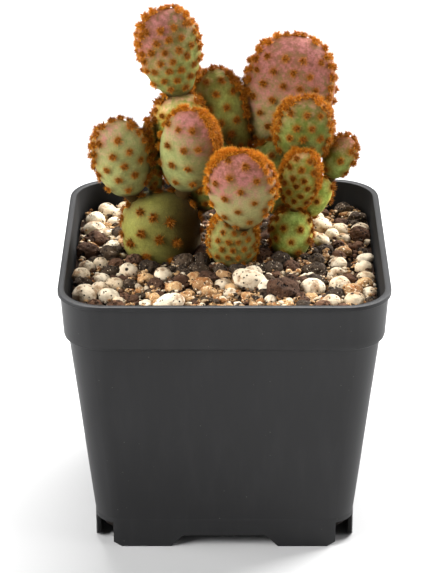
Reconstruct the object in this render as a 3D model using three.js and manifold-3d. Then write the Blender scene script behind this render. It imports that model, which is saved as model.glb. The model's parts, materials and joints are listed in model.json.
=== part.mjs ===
// A potted blind prickly pear (Opuntia rufida): a square nursery pot, a gritty potting mix topped
// with pumice and lava stones, and a clump of flat pads covered in tufts of short bristles.
// Millimetres, +Z up, the plant's front toward -Y, the pot's feet on z = 0 around the origin.

import * as THREE from 'three';
import { mergeVertices } from 'three/addons/utils/BufferGeometryUtils.js';
import Module from 'manifold-3d';

const wasm = await Module();
wasm.setup();

// Pot: a square 9 cm size, its wall leaning out from a straight foot to a raised band at the rim.
const POT_HEIGHT = 78;
const RIM_HALF = 45;
const RIM_CORNER = 12.8;
const LIP_THICKNESS = 1.2;
const BAND_HALF = 44.3;
const BAND_BOTTOM = 65;
const BODY_HALF = 42.15;
const BODY_CORNER = 9.6;
const FOOT_HALF = 36.2;
const FOOT_CORNER = 7.5;
const FOOT_HEIGHT = 8.5;
const WALL = 1.2;
const FLOOR_BOTTOM = 3.5;
const ARCH_HALF_TOP = 11.5;
const ARCH_HALF_FOOT = 15;
const CORNER_NOTCH_FROM = 31;
const CORNER_NOTCH_HEIGHT = 7.4;
const FOOT_CHAMFER_WIDTH = 2.5;
const FOOT_CHAMFER_HEIGHT = 1.3;
const DRAIN_RADIUS = 4.5;
const CORNER_STEPS = 5;

// Potting mix: its level, its grid of stones and the few big stones at the front.
const SOIL_LEVEL = 70;
const STONE_STEP = 9.1;
const STONE_JITTER = 0.8;
const STONE_RADIUS = { min: 3.6, max: 4.6 };
const STONE_FLATNESS = 0.7;
const STONE_RISE = 0.3;
const STONE_SEED = 11;
const BIG_STONES = [
  { at: [7.1, -13.9], radii: [5.3, 3.9, 3.6] },
  { at: [16, -20.6], radii: [4.9, 4.4, 3.6] },
  { at: [-38, -23], radii: [3.6, 3.6, 3.2] },
  { at: [-15.1, -28.3], radii: [4.6, 3.3, 2.9] },
  { at: [24.3, -17.9], radii: [3.8, 3.2, 3] },
];

// Clearance between pieces that touch.
const GAP = 0.35;

// Tufts: four-sided cones whose roots are sunk into the pad.
const TUFT = { radius: 1.25, height: 1.6, sunk: 0.5, sides: 4 };
const TUFT_LOWEST = 75.5;
const TUFT_CLEARANCE = 1.7;
const TUFT_APART = 2.9;
const TUFT_APART_ON_PAD = 2.2;
const FACE_STEP = 5.8;
const RIM_STEP = 3.8;
const DENSE_RIM_STEP = 3.2;
const FACE_REACH = 0.8;
const RIM_SWING = 0.3;
const BARE_BASE = -0.78;

// Pads, parents first. centre is the middle of the pad, half its half width, half height and half
// thickness, egg how much wider the upper part is, and square how square its top and its base
// are, where 2 is an ellipse. lean, pitch and turn are degrees: lean tips it to +X, pitch tips its
// top toward -Y, and turn faces it toward +X.
const PADS = [
  { name: 'pad_base_left', centre: [-17.9, 9, 76.8], half: [11.3, 11.7, 9.2], egg: 0, square: [2.7, 2.3],
    lean: -3, faceStep: 6.4, rimStep: 4.4 },
  { name: 'pad_base_front', centre: [2.4, 2, 76.4], half: [6.9, 8.6, 5.4], egg: -0.02, square: [2.8, 2],
    faceStep: 4.2 },
  { name: 'pad_base_right', centre: [18.9, 9.5, 75.5], half: [6, 8.3, 5.8], egg: 0, square: [2.2, 2],
    lean: 4 },
  { name: 'pad_left', parent: 'pad_base_left', centre: [-28.8, 7.2, 99.6], half: [7.8, 11.9, 5.2],
    egg: 0.1, square: [2.1, 2.35], lean: -13, pitch: 4, turn: 8 },
  { name: 'pad_front_left', parent: 'pad_base_left', centre: [-9.9, 5, 102.7], half: [8.3, 13.8, 5.2],
    egg: 0.05, square: [2.1, 2], lean: 10, pitch: 12, turn: -15, rimStep: DENSE_RIM_STEP },
  { name: 'pad_back_left', parent: 'pad_base_left', centre: [-12.9, 14, 102.6], half: [7.4, 13.5, 4.6],
    egg: 0.08, square: [2.7, 2], lean: 1, pitch: -6 },
  { name: 'pad_mid_left', parent: 'pad_base_left', centre: [-4.2, 14, 92], half: [7.6, 11, 4.6], egg: 0.06,
    square: [2.1, 2], lean: 10 },
  { name: 'pad_edge_left', parent: 'pad_base_left', centre: [-20.5, 12.5, 97.6], half: [4.6, 11.6, 2.8],
    egg: 0.06, square: [2.1, 2], lean: -4, pitch: -5, turn: 82 },
  { name: 'pad_back_centre', parent: 'pad_mid_left', centre: [-1.3, 20, 106.2], half: [8.4, 14.5, 4.9],
    egg: 0, square: [2.1, 3.4], lean: -8, pitch: -12 },
  { name: 'pad_top_left', parent: 'pad_back_left', centre: [-15.1, 15, 127.7], half: [8.4, 13.3, 5.6],
    egg: 0.12, square: [2.3, 1.9], lean: -10, turn: 10 },
  { name: 'pad_lower_right', parent: 'pad_base_right', centre: [26, 12.5, 85.8], half: [4, 6.3, 3.6],
    egg: 0.04, square: [2.1, 2], lean: 24 },
  { name: 'pad_far_right', parent: 'pad_lower_right', centre: [32.3, 13.5, 97.5], half: [4.4, 6.9, 3.4],
    egg: 0.12, square: [2.1, 1.9], lean: 18 },
  { name: 'pad_mid_right', parent: 'pad_base_right', centre: [14.8, 14.5, 90.8], half: [8.4, 11, 5.4],
    egg: 0.04, square: [2.1, 2], lean: -9, pitch: -8 },
  { name: 'pad_upper_right', parent: 'pad_mid_right', centre: [22.1, 11, 106.2], half: [7.9, 10.4, 4.5],
    egg: 0.08, square: [2.1, 2.2], lean: 3, pitch: 6 },
  { name: 'pad_top_right', parent: 'pad_mid_right', centre: [18, 22.5, 111.8], half: [12.6, 18, 5.8],
    egg: 0.09, square: [2.3, 2.35], lean: 7, pitch: -10 },
  { name: 'pad_small_right', parent: 'pad_base_right', centre: [21.1, 6, 93.6], half: [5.4, 9.7, 3.8],
    egg: 0.08, square: [2.1, 2], lean: 11, pitch: 10, turn: -14, rimStep: DENSE_RIM_STEP },
  { name: 'pad_front', parent: 'pad_base_front', centre: [4.6, -4, 94.4], half: [9.5, 12.6, 4.8],
    egg: 0.17, square: [2.1, 1.95], lean: 2, pitch: 10, turn: -12, rimStep: DENSE_RIM_STEP },
];
const PAD_SEGMENTS = { around: 13, along: 9 };

// Necks, as shares of the pad that they belong to, and the roots that go down into the mix.
const NECK = { start: -0.7, startWidth: 0.46, endWidth: 0.36, depthInParent: 0.8, sides: 8 };
const ROOT_END = 58;

const material = (color, roughness) => new THREE.MeshStandardMaterial({ color, roughness, metalness: 0 });
const POT_MATERIAL = material(0x3c3d3f, 0.5);
const MIX_MATERIAL = material(0xa08a72, 0.95);
const GREEN_PAD_MATERIAL = material(0x8f9d5c, 0.75);
const PINK_PAD_MATERIAL = material(0xa9837a, 0.8);
const PINK_PADS = ['pad_top_left', 'pad_top_right', 'pad_front', 'pad_front_left', 'pad_left'];

// Solids and meshes

function toSolid(geometry) {
  geometry.deleteAttribute('normal');
  geometry.deleteAttribute('uv');
  const merged = mergeVertices(geometry, 1e-4);
  return new wasm.Manifold(new wasm.Mesh({
    numProp: 3,
    vertProperties: merged.attributes.position.array,
    triVerts: new Uint32Array(merged.index.array),
  }));
}

function toMesh(solid, name, meshMaterial) {
  const { vertProperties, triVerts } = largestPiece(solid).getMesh();
  const geometry = new THREE.BufferGeometry();
  geometry.setAttribute('position', new THREE.Float32BufferAttribute(vertProperties, 3));
  geometry.setIndex(new THREE.Uint32BufferAttribute(triVerts, 1));
  geometry.computeVertexNormals();
  const mesh = new THREE.Mesh(geometry, meshMaterial);
  mesh.name = name;
  return mesh;
}

function largestPiece(solid) {
  return solid.decompose().reduce((best, piece) => (piece.volume() > best.volume() ? piece : best));
}

// A repeatable stream of numbers from 0 to 1.
function randomStream(seed) {
  let state = seed;
  return () => {
    state = (state + 0x6d2b79f5) | 0;
    let mixed = Math.imul(state ^ (state >>> 15), 1 | state);
    mixed = (mixed + Math.imul(mixed ^ (mixed >>> 7), 61 | mixed)) ^ mixed;
    return ((mixed ^ (mixed >>> 14)) >>> 0) / 4294967296;
  };
}

// Rounded-square lofts

function roundedSquare(half, corner, z) {
  const points = [];
  const middle = half - corner;
  for (let quarter = 0; quarter < 4; quarter += 1) {
    const start = quarter * Math.PI / 2;
    const centreX = middle * Math.sign(Math.cos(start + Math.PI / 4));
    const centreY = middle * Math.sign(Math.sin(start + Math.PI / 4));
    for (let step = 0; step <= CORNER_STEPS; step += 1) {
      const angle = start + (step / CORNER_STEPS) * Math.PI / 2;
      points.push([centreX + corner * Math.cos(angle), centreY + corner * Math.sin(angle), z]);
    }
  }
  return points;
}

// A closed solid through rounded squares, each level given as its height, half width and corner radius.
function squareLoft(levels) {
  const rings = levels.map(({ z, half, corner }) => roundedSquare(half, corner, z));
  const count = rings[0].length;
  const index = [];
  for (let level = 0; level < rings.length - 1; level += 1) {
    for (let i = 0; i < count; i += 1) {
      const next = (i + 1) % count;
      const [a, b] = [level * count + i, level * count + next];
      index.push(a, b, b + count, a, b + count, a + count);
    }
  }
  const top = (rings.length - 1) * count;
  for (let i = 1; i < count - 1; i += 1) {
    index.push(0, i + 1, i, top, top + i, top + i + 1);
  }
  const geometry = new THREE.BufferGeometry();
  geometry.setAttribute('position', new THREE.Float32BufferAttribute(rings.flat(2), 3));
  geometry.setIndex(index);
  return toSolid(geometry);
}

// The square's size at one height between two levels.
function levelAt(levels, z) {
  const upper = levels.findIndex((level) => level.z >= z);
  const [below, above] = [levels[upper - 1], levels[upper]];
  const share = (z - below.z) / (above.z - below.z);
  return {
    z,
    half: THREE.MathUtils.lerp(below.half, above.half, share),
    corner: THREE.MathUtils.lerp(below.corner, above.corner, share),
  };
}

// Pot

const OUTER_LEVELS = [
  { z: 0, half: FOOT_HALF, corner: FOOT_CORNER },
  { z: FOOT_HEIGHT, half: FOOT_HALF + 0.1, corner: FOOT_CORNER },
  { z: FOOT_HEIGHT + 0.2, half: FOOT_HALF - 0.15, corner: FOOT_CORNER },
  { z: BAND_BOTTOM - 0.8, half: BODY_HALF, corner: BODY_CORNER },
  { z: BAND_BOTTOM - 0.2, half: BAND_HALF - 1.1, corner: RIM_CORNER - 1.6 },
  { z: BAND_BOTTOM + 0.8, half: BAND_HALF - 0.7, corner: RIM_CORNER - 1.2 },
  { z: POT_HEIGHT - LIP_THICKNESS - 0.2, half: BAND_HALF, corner: RIM_CORNER - 0.6 },
  { z: POT_HEIGHT - LIP_THICKNESS, half: RIM_HALF, corner: RIM_CORNER },
  { z: POT_HEIGHT, half: RIM_HALF, corner: RIM_CORNER },
];

const CAVITY_LEVELS = [
  { z: FLOOR_BOTTOM + WALL, half: FOOT_HALF - WALL - 0.4, corner: FOOT_CORNER - WALL },
  { z: BAND_BOTTOM - 1.6, half: BODY_HALF - WALL - 0.1, corner: BODY_CORNER - WALL },
  { z: BAND_BOTTOM + 0.4, half: BAND_HALF - 0.8 - WALL, corner: RIM_CORNER - 1.2 - WALL },
  { z: POT_HEIGHT + 1, half: BAND_HALF - WALL + 0.3, corner: RIM_CORNER - WALL },
];

// What is cut from the foot all along the pot: the arch between two feet and the feet's bevelled ends.
function footCut() {
  const below = -1;
  const arch = [
    [-ARCH_HALF_FOOT - 0.5, below], [ARCH_HALF_FOOT + 0.5, below], [ARCH_HALF_FOOT, 0],
    [ARCH_HALF_TOP, FLOOR_BOTTOM], [-ARCH_HALF_TOP, FLOOR_BOTTOM], [-ARCH_HALF_FOOT, 0],
  ];
  const pastNotch = 0.1;
  const end = CORNER_NOTCH_FROM + pastNotch;
  const bevel = [
    [end - FOOT_CHAMFER_WIDTH, below], [end, below], [end, FOOT_CHAMFER_HEIGHT],
    [end - FOOT_CHAMFER_WIDTH, 0],
  ];
  const mirrored = bevel.map(([x, z]) => [-x, z]).reverse();
  const length = 2 * RIM_HALF;
  return [arch, bevel, mirrored].map((outline) => {
    const shape = new THREE.Shape(outline.map(([x, z]) => new THREE.Vector2(x, z)));
    const geometry = new THREE.ExtrudeGeometry(shape, { depth: length, bevelEnabled: false });
    geometry.translate(0, 0, -length / 2);
    geometry.rotateX(Math.PI / 2);
    return geometry;
  });
}

function makePot() {
  let pot = squareLoft(OUTER_LEVELS).subtract(squareLoft(CAVITY_LEVELS));
  const skirtInside = { half: FOOT_HALF - WALL, corner: FOOT_CORNER - WALL };
  pot = pot.subtract(squareLoft([{ z: -1, ...skirtInside }, { z: FLOOR_BOTTOM, ...skirtInside }]));
  for (const turn of [0, Math.PI / 2]) {
    for (const geometry of footCut()) {
      pot = pot.subtract(toSolid(geometry.rotateZ(turn)));
    }
  }
  const notchSize = RIM_HALF - CORNER_NOTCH_FROM;
  for (const [signX, signY] of [[1, 1], [1, -1], [-1, 1], [-1, -1]]) {
    const notch = new THREE.BoxGeometry(notchSize, notchSize, CORNER_NOTCH_HEIGHT + 1);
    const centre = CORNER_NOTCH_FROM + notchSize / 2;
    notch.translate(signX * centre, signY * centre, (CORNER_NOTCH_HEIGHT - 1) / 2);
    pot = pot.subtract(toSolid(notch));
  }
  const drain = new THREE.CylinderGeometry(DRAIN_RADIUS, DRAIN_RADIUS, 4, 16).rotateX(Math.PI / 2);
  drain.translate(0, 0, FLOOR_BOTTOM + WALL / 2);
  return pot.subtract(toSolid(drain));
}

// Pads

class Pad {
  constructor({ name, parent = null, centre, half, egg, square, lean = 0, pitch = 0, turn = 0,
    faceStep = FACE_STEP, rimStep = RIM_STEP }) {
    Object.assign(this, { name, parent, egg, square, faceStep, rimStep });
    this.centre = new THREE.Vector3(...centre);
    [this.halfWidth, this.halfHeight, this.halfDepth] = half;
    const degree = Math.PI / 180;
    const rotation = new THREE.Matrix4().makeRotationZ(turn * degree)
      .multiply(new THREE.Matrix4().makeRotationX(pitch * degree))
      .multiply(new THREE.Matrix4().makeRotationY(lean * degree));
    this.across = new THREE.Vector3(1, 0, 0).applyMatrix4(rotation);
    this.along = new THREE.Vector3(0, 0, 1).applyMatrix4(rotation);
    this.outward = new THREE.Vector3(0, -1, 0).applyMatrix4(rotation);
    this.tufts = [];
  }

  // The point at x across, n outward and z along the pad.
  place(x, n, z) {
    return this.centre.clone().addScaledVector(this.across, x).addScaledVector(this.outward, n)
      .addScaledVector(this.along, z);
  }

  direction(x, n, z) {
    return this.place(x, n, z).sub(this.centre).normalize();
  }

  // How square the rim is above or below the middle.
  power(w) {
    return w > 0 ? this.square[0] : this.square[1];
  }

  // Half width of the egg at height share w, from -1 at the base to 1 at the tip, where 1 is full.
  fullness(w) {
    return Math.max(0, 1 - Math.abs(w) ** this.power(w)) ** (1 / this.power(w)) * (1 + this.egg * w);
  }

  // Below 1 inside the pad, above 1 outside, for a pad swollen by grow.
  measure(point, grow = 0) {
    const offset = point.clone().sub(this.centre);
    const w = offset.dot(this.along) / (this.halfHeight + grow);
    const taper = 1 + this.egg * THREE.MathUtils.clamp(w, -1, 1);
    const spread = Math.hypot(
      offset.dot(this.across) / ((this.halfWidth + grow) * taper),
      offset.dot(this.outward) / ((this.halfDepth + grow) * taper),
    );
    return spread ** this.power(w) + Math.abs(w) ** this.power(w);
  }

  // The surface point over x and z on the side n = 1 or -1, with its normal.
  surfaceOver(x, z, side) {
    const w = z / this.halfHeight;
    const full = this.fullness(w);
    const n = side * this.halfDepth * Math.sqrt(Math.max(0, full ** 2 - (x / this.halfWidth) ** 2));
    return { point: this.place(x, n, z), normal: this.normalAt(x, n, z) };
  }

  normalAt(x, n, z) {
    const w = z / this.halfHeight;
    const step = 1e-4;
    const slope = (this.fullness(Math.min(1, w + step)) - this.fullness(Math.max(-1, w - step))) / (2 * step);
    const rise = -slope * this.fullness(w);
    return this.direction(x / this.halfWidth ** 2, n / this.halfDepth ** 2, rise / this.halfHeight);
  }

  eggSolid(grow) {
    const geometry = new THREE.SphereGeometry(1, PAD_SEGMENTS.around, PAD_SEGMENTS.along);
    const positions = geometry.attributes.position;
    for (let i = 0; i < positions.count; i += 1) {
      const [x, y, z] = [positions.getX(i), positions.getY(i), positions.getZ(i)];
      const ball = Math.hypot(x, z);
      const w = Math.sign(y) * Math.abs(y) ** (2 / this.power(y));
      const widen = ball === 0 ? 0 : this.fullness(w) / ball;
      const point = this.place(
        x * widen * (this.halfWidth + grow),
        z * widen * (this.halfDepth + grow),
        w * (this.halfHeight + grow),
      );
      positions.setXYZ(i, point.x, point.y, point.z);
    }
    return toSolid(geometry);
  }

  // The neck runs from inside this pad to a point inside its parent, or down into the mix.
  routeNeck(pads) {
    this.neckStart = this.place(0, 0, NECK.start * this.halfHeight);
    const base = this.place(0, 0, -this.halfHeight);
    if (this.parent === null) {
      this.neckEnd = new THREE.Vector3(base.x, base.y, ROOT_END);
      return;
    }
    const parent = pads.get(this.parent);
    this.neckEnd = base.clone();
    while (parent.measure(this.neckEnd) > NECK.depthInParent) {
      this.neckEnd.lerp(parent.centre, 0.03);
    }
  }

  neckSolid(grow) {
    const axis = this.neckEnd.clone().sub(this.neckStart);
    const length = axis.length() + grow;
    const down = axis.normalize();
    const flat = this.outward.clone().addScaledVector(down, -this.outward.dot(down)).normalize();
    const side = new THREE.Vector3().crossVectors(down, flat);
    const geometry = new THREE.CylinderGeometry(
      NECK.endWidth * this.halfWidth + grow, NECK.startWidth * this.halfWidth + grow, length, NECK.sides);
    geometry.translate(0, length / 2, 0);
    geometry.scale(1, 1, (this.halfDepth + grow) / (this.halfWidth + grow));
    const basis = new THREE.Matrix4().makeBasis(side, down, flat).setPosition(this.neckStart);
    geometry.applyMatrix4(basis);
    return toSolid(geometry);
  }

  body(grow = 0) {
    return this.eggSolid(grow).add(this.neckSolid(grow));
  }

  // True where a tuft at this point would touch this pad's skin or its neck.
  crowds(point) {
    const neck = new THREE.Line3(this.neckStart, this.neckEnd);
    const nearest = neck.closestPointToPoint(point, true, new THREE.Vector3());
    const neckRadius = NECK.startWidth * this.halfWidth;
    return this.measure(point, TUFT_CLEARANCE) < 1
      || nearest.distanceTo(point) < neckRadius + TUFT_CLEARANCE;
  }

  // Rows along the rim, swinging from one face to the other.
  rimSpots() {
    const spots = [];
    for (const side of [0, Math.PI]) {
      let travelled = 0;
      let previous = null;
      let row = side === 0 ? 0 : 1;
      for (let angle = side === 0 ? 0 : 0.02; angle < Math.PI; angle += 0.02) {
        const w = Math.cos(angle);
        const full = this.fullness(w);
        const outline = new THREE.Vector2(full * this.halfWidth, w * this.halfHeight);
        travelled += previous === null ? this.rimStep : outline.distanceTo(previous);
        previous = outline;
        if (w < BARE_BASE || travelled < this.rimStep) continue;
        travelled = 0;
        row += 1;
        const swing = side + (row % 2 === 0 ? RIM_SWING : -RIM_SWING);
        const x = full * this.halfWidth * Math.cos(swing);
        const n = full * this.halfDepth * Math.sin(swing);
        const z = w * this.halfHeight;
        spots.push({ point: this.place(x, n, z), normal: this.normalAt(x, n, z) });
      }
    }
    return spots;
  }

  // Diagonal rows over both faces.
  faceSpots() {
    const spots = [];
    const rows = Math.ceil(this.halfHeight / (this.faceStep * 0.8));
    const columns = Math.ceil(this.halfWidth / this.faceStep) + 1;
    for (const side of [1, -1]) {
      for (let row = -rows; row <= rows; row += 1) {
        for (let column = -columns; column <= columns; column += 1) {
          const x = (column + (row % 2 === 0 ? 0 : 0.5)) * this.faceStep;
          const z = row * this.faceStep * 0.8;
          const w = z / this.halfHeight;
          const inside = Math.abs(x) < FACE_REACH * this.fullness(w) * this.halfWidth;
          if (inside && Math.abs(w) < FACE_REACH) spots.push(this.surfaceOver(x, z, side));
        }
      }
    }
    return spots;
  }

  // Keeps the spots that are clear of the mix, of the other pads and of all tufts so far.
  chooseTufts(pads) {
    const others = [...pads.values()].filter((pad) => pad !== this);
    for (const spot of [...this.rimSpots(), ...this.faceSpots()]) {
      const tip = spot.point.clone().addScaledVector(spot.normal, TUFT.height / 2);
      const clear = spot.point.z > TUFT_LOWEST
        && !others.some((pad) => pad.crowds(tip))
        && !others.some((pad) => pad.tufts.some((tuft) => tuft.point.distanceTo(spot.point) < TUFT_APART))
        && !this.tufts.some((tuft) => tuft.point.distanceTo(spot.point) < TUFT_APART_ON_PAD);
      if (clear) this.tufts.push(spot);
    }
  }

  tuftSolid({ point, normal }) {
    const geometry = new THREE.ConeGeometry(TUFT.radius, TUFT.height + TUFT.sunk, TUFT.sides);
    geometry.translate(0, (TUFT.height - TUFT.sunk) / 2, 0);
    const turn = new THREE.Quaternion().setFromUnitVectors(new THREE.Vector3(0, 1, 0), normal);
    geometry.applyQuaternion(turn);
    geometry.translate(point.x, point.y, point.z);
    return toSolid(geometry);
  }

  // The pad with its neck, cut back from the pads made before it, and its tufts.
  solid(earlier) {
    const cut = earlier.reduce((shape, pad) => shape.subtract(pad.body(GAP)), this.body());
    return this.tufts.reduce((shape, tuft) => shape.add(this.tuftSolid(tuft)), largestPiece(cut));
  }
}

// Potting mix

function stoneSolid([x, y, z], radii, turn) {
  const geometry = new THREE.IcosahedronGeometry(1, 0);
  geometry.rotateX(turn).rotateY(turn * 2);
  geometry.scale(...radii).rotateZ(turn * 3);
  geometry.translate(x, y, z);
  return toSolid(geometry);
}

// Moves a point inward until a stone of this radius is clear of the wall and its round corner.
function keepInside([x, y], radius, { half, corner }) {
  const room = half - GAP - radius;
  const clamped = [x, y].map((value) => THREE.MathUtils.clamp(value, -room, room));
  const middle = half - corner;
  const past = clamped.map((value) => Math.max(0, Math.abs(value) - middle));
  const overlap = Math.hypot(...past) - (corner - GAP - radius);
  if (overlap <= 0 || Math.min(...past) === 0) return clamped;
  const share = 1 - overlap / Math.hypot(...past);
  return clamped.map((value, axis) => Math.sign(value) * (middle + past[axis] * share));
}

// Stones on a staggered grid inside the wall, shifted a little at random around the big ones.
function stoneSpots(surface) {
  const random = randomStream(STONE_SEED);
  const spots = BIG_STONES.map(({ at, radii }) => ({ at, radii, turn: random() * Math.PI }));
  const rows = Math.floor(surface.half / STONE_STEP);
  for (let row = -rows; row <= rows; row += 1) {
    for (let column = -rows; column <= rows; column += 1) {
      const shift = row % 2 === 0 ? -0.25 : 0.25;
      const radius = THREE.MathUtils.lerp(STONE_RADIUS.min, STONE_RADIUS.max, random());
      const turn = random() * Math.PI;
      const [x, y] = keepInside([
        (column + shift) * STONE_STEP + (2 * random() - 1) * STONE_JITTER,
        row * STONE_STEP + (2 * random() - 1) * STONE_JITTER,
      ], radius, surface);
      const onBig = spots.slice(0, BIG_STONES.length).some(
        ({ at, radii }) => Math.hypot(at[0] - x, at[1] - y) < radii[0] + 0.4 * radius);
      if (!onBig) {
        spots.push({ at: [x, y], radii: [radius, 0.85 * radius, STONE_FLATNESS * radius], turn });
      }
    }
  }
  return spots;
}

// The fill with its top stones, and a plain hole for each pad that stands in it.
function makeMix(rootedPads) {
  const shrink = ({ z, half, corner }) => ({ z, half: half - GAP, corner: corner - GAP });
  const surface = levelAt(CAVITY_LEVELS, SOIL_LEVEL);
  const below = CAVITY_LEVELS.filter(({ z }) => z < SOIL_LEVEL).map(shrink);
  below[0].z += GAP;
  let mix = squareLoft([...below, shrink(surface)]);
  for (const { at, radii, turn } of stoneSpots(surface)) {
    mix = mix.add(stoneSolid([...at, SOIL_LEVEL + STONE_RISE * radii[2]], radii, turn));
  }
  return rootedPads.reduce((shape, pad) => shape.subtract(pad.body(GAP)), mix);
}

// Assembly

const pads = new Map(PADS.map((row) => [row.name, new Pad(row)]));
for (const pad of pads.values()) pad.routeNeck(pads);
for (const pad of pads.values()) pad.chooseTufts(pads);

const basePads = [...pads.values()].filter((pad) => pad.parent === null);
const group = new THREE.Group();
group.add(toMesh(makePot(), 'pot', POT_MATERIAL));
group.add(toMesh(makeMix(basePads), 'potting_mix', MIX_MATERIAL));
const made = [];
for (const pad of pads.values()) {
  const skin = PINK_PADS.includes(pad.name) ? PINK_PAD_MATERIAL : GREEN_PAD_MATERIAL;
  group.add(toMesh(pad.solid(made), pad.name, skin));
  made.push(pad);
}

export default group;
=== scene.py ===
"""Looks of a potted blind prickly pear.

A clump of flat oval cactus pads with rust-orange bristle tufts stands in a gravelly potting mix of
pumice, lava and fired clay, in a square black nursery pot. Sizes are in millimetres and turn into
metres where a mesh is made. +Z is up and the plant's front is toward -Y.
"""

import json
import logging
import math
import random
from dataclasses import dataclass, field
from enum import Enum
from typing import Dict, List, Optional, Sequence, Tuple, Union

import bpy
import numpy as np
from mathutils import Euler, Matrix, Vector, noise

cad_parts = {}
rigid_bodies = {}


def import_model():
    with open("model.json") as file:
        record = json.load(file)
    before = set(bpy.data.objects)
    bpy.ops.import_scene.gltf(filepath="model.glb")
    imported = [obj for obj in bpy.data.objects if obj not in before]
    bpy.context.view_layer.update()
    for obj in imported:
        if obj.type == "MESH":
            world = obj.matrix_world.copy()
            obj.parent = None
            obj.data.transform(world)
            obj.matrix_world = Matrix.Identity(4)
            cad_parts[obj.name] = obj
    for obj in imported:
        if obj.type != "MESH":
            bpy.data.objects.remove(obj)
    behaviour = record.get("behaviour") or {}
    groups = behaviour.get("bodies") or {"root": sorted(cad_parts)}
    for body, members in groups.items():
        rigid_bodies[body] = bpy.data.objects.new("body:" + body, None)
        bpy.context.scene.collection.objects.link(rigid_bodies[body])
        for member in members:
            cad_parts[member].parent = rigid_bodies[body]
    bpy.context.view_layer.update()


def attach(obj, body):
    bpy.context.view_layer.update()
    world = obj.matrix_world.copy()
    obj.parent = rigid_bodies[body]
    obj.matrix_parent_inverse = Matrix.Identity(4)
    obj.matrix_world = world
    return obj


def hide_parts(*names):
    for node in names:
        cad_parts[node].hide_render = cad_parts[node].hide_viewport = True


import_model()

LOG = logging.getLogger("prickly_pear")
MM = 0.001
BODY = "root"

Colour = Tuple[float, float, float, float]
Triple = Tuple[float, float, float]


def srgb(red: int, green: int, blue: int) -> Colour:
    """Turns a screen colour into the linear colour that a shader takes.

    Args:
        red: Red from 0 to 255.
        green: Green from 0 to 255.
        blue: Blue from 0 to 255.

    Returns:
        The linear colour with full alpha.
    """
    channels = []
    for level in (red, green, blue):
        share = level / 255
        channels.append(share / 12.92 if share <= 0.04045 else ((share + 0.055) / 1.055) ** 2.4)
    return channels[0], channels[1], channels[2], 1.0


# Node graphs


class Wire:
    """A node's output socket that takes part in arithmetic by adding Math nodes."""

    def __init__(self, graph: "NodeGraph", socket: bpy.types.NodeSocket) -> None:
        """Keeps the graph and the socket."""
        self.graph = graph
        self.socket = socket

    def __add__(self, other: "Value") -> "Wire":
        """Adds two values."""
        return self.graph.math("ADD", self, other)

    def __radd__(self, other: "Value") -> "Wire":
        """Adds two values."""
        return self.graph.math("ADD", other, self)

    def __sub__(self, other: "Value") -> "Wire":
        """Subtracts the other value."""
        return self.graph.math("SUBTRACT", self, other)

    def __rsub__(self, other: "Value") -> "Wire":
        """Subtracts this value from the other."""
        return self.graph.math("SUBTRACT", other, self)

    def __mul__(self, other: "Value") -> "Wire":
        """Multiplies two values."""
        return self.graph.math("MULTIPLY", self, other)

    def __rmul__(self, other: "Value") -> "Wire":
        """Multiplies two values."""
        return self.graph.math("MULTIPLY", other, self)

    def __truediv__(self, other: "Value") -> "Wire":
        """Divides by the other value."""
        return self.graph.math("DIVIDE", self, other)

    def clamped(self) -> "Wire":
        """Holds the value between 0 and 1."""
        return self.graph.math("MINIMUM", self.graph.math("MAXIMUM", self, 0.0), 1.0)

    def smooth(self, low: float, high: float) -> "Wire":
        """Rises smoothly from 0 at low to 1 at high.

        Args:
            low: The value that gives 0.
            high: The value that gives 1.

        Returns:
            The smoothed share.
        """
        return self.graph.pick(
            "Result", "ShaderNodeMapRange", {"interpolation_type": "SMOOTHSTEP"},
            {"Value": self, "From Min": low, "From Max": high, "To Min": 0.0, "To Max": 1.0})


Value = Union[Wire, float, int, str, bool, Sequence[float], bpy.types.ID]


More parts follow.
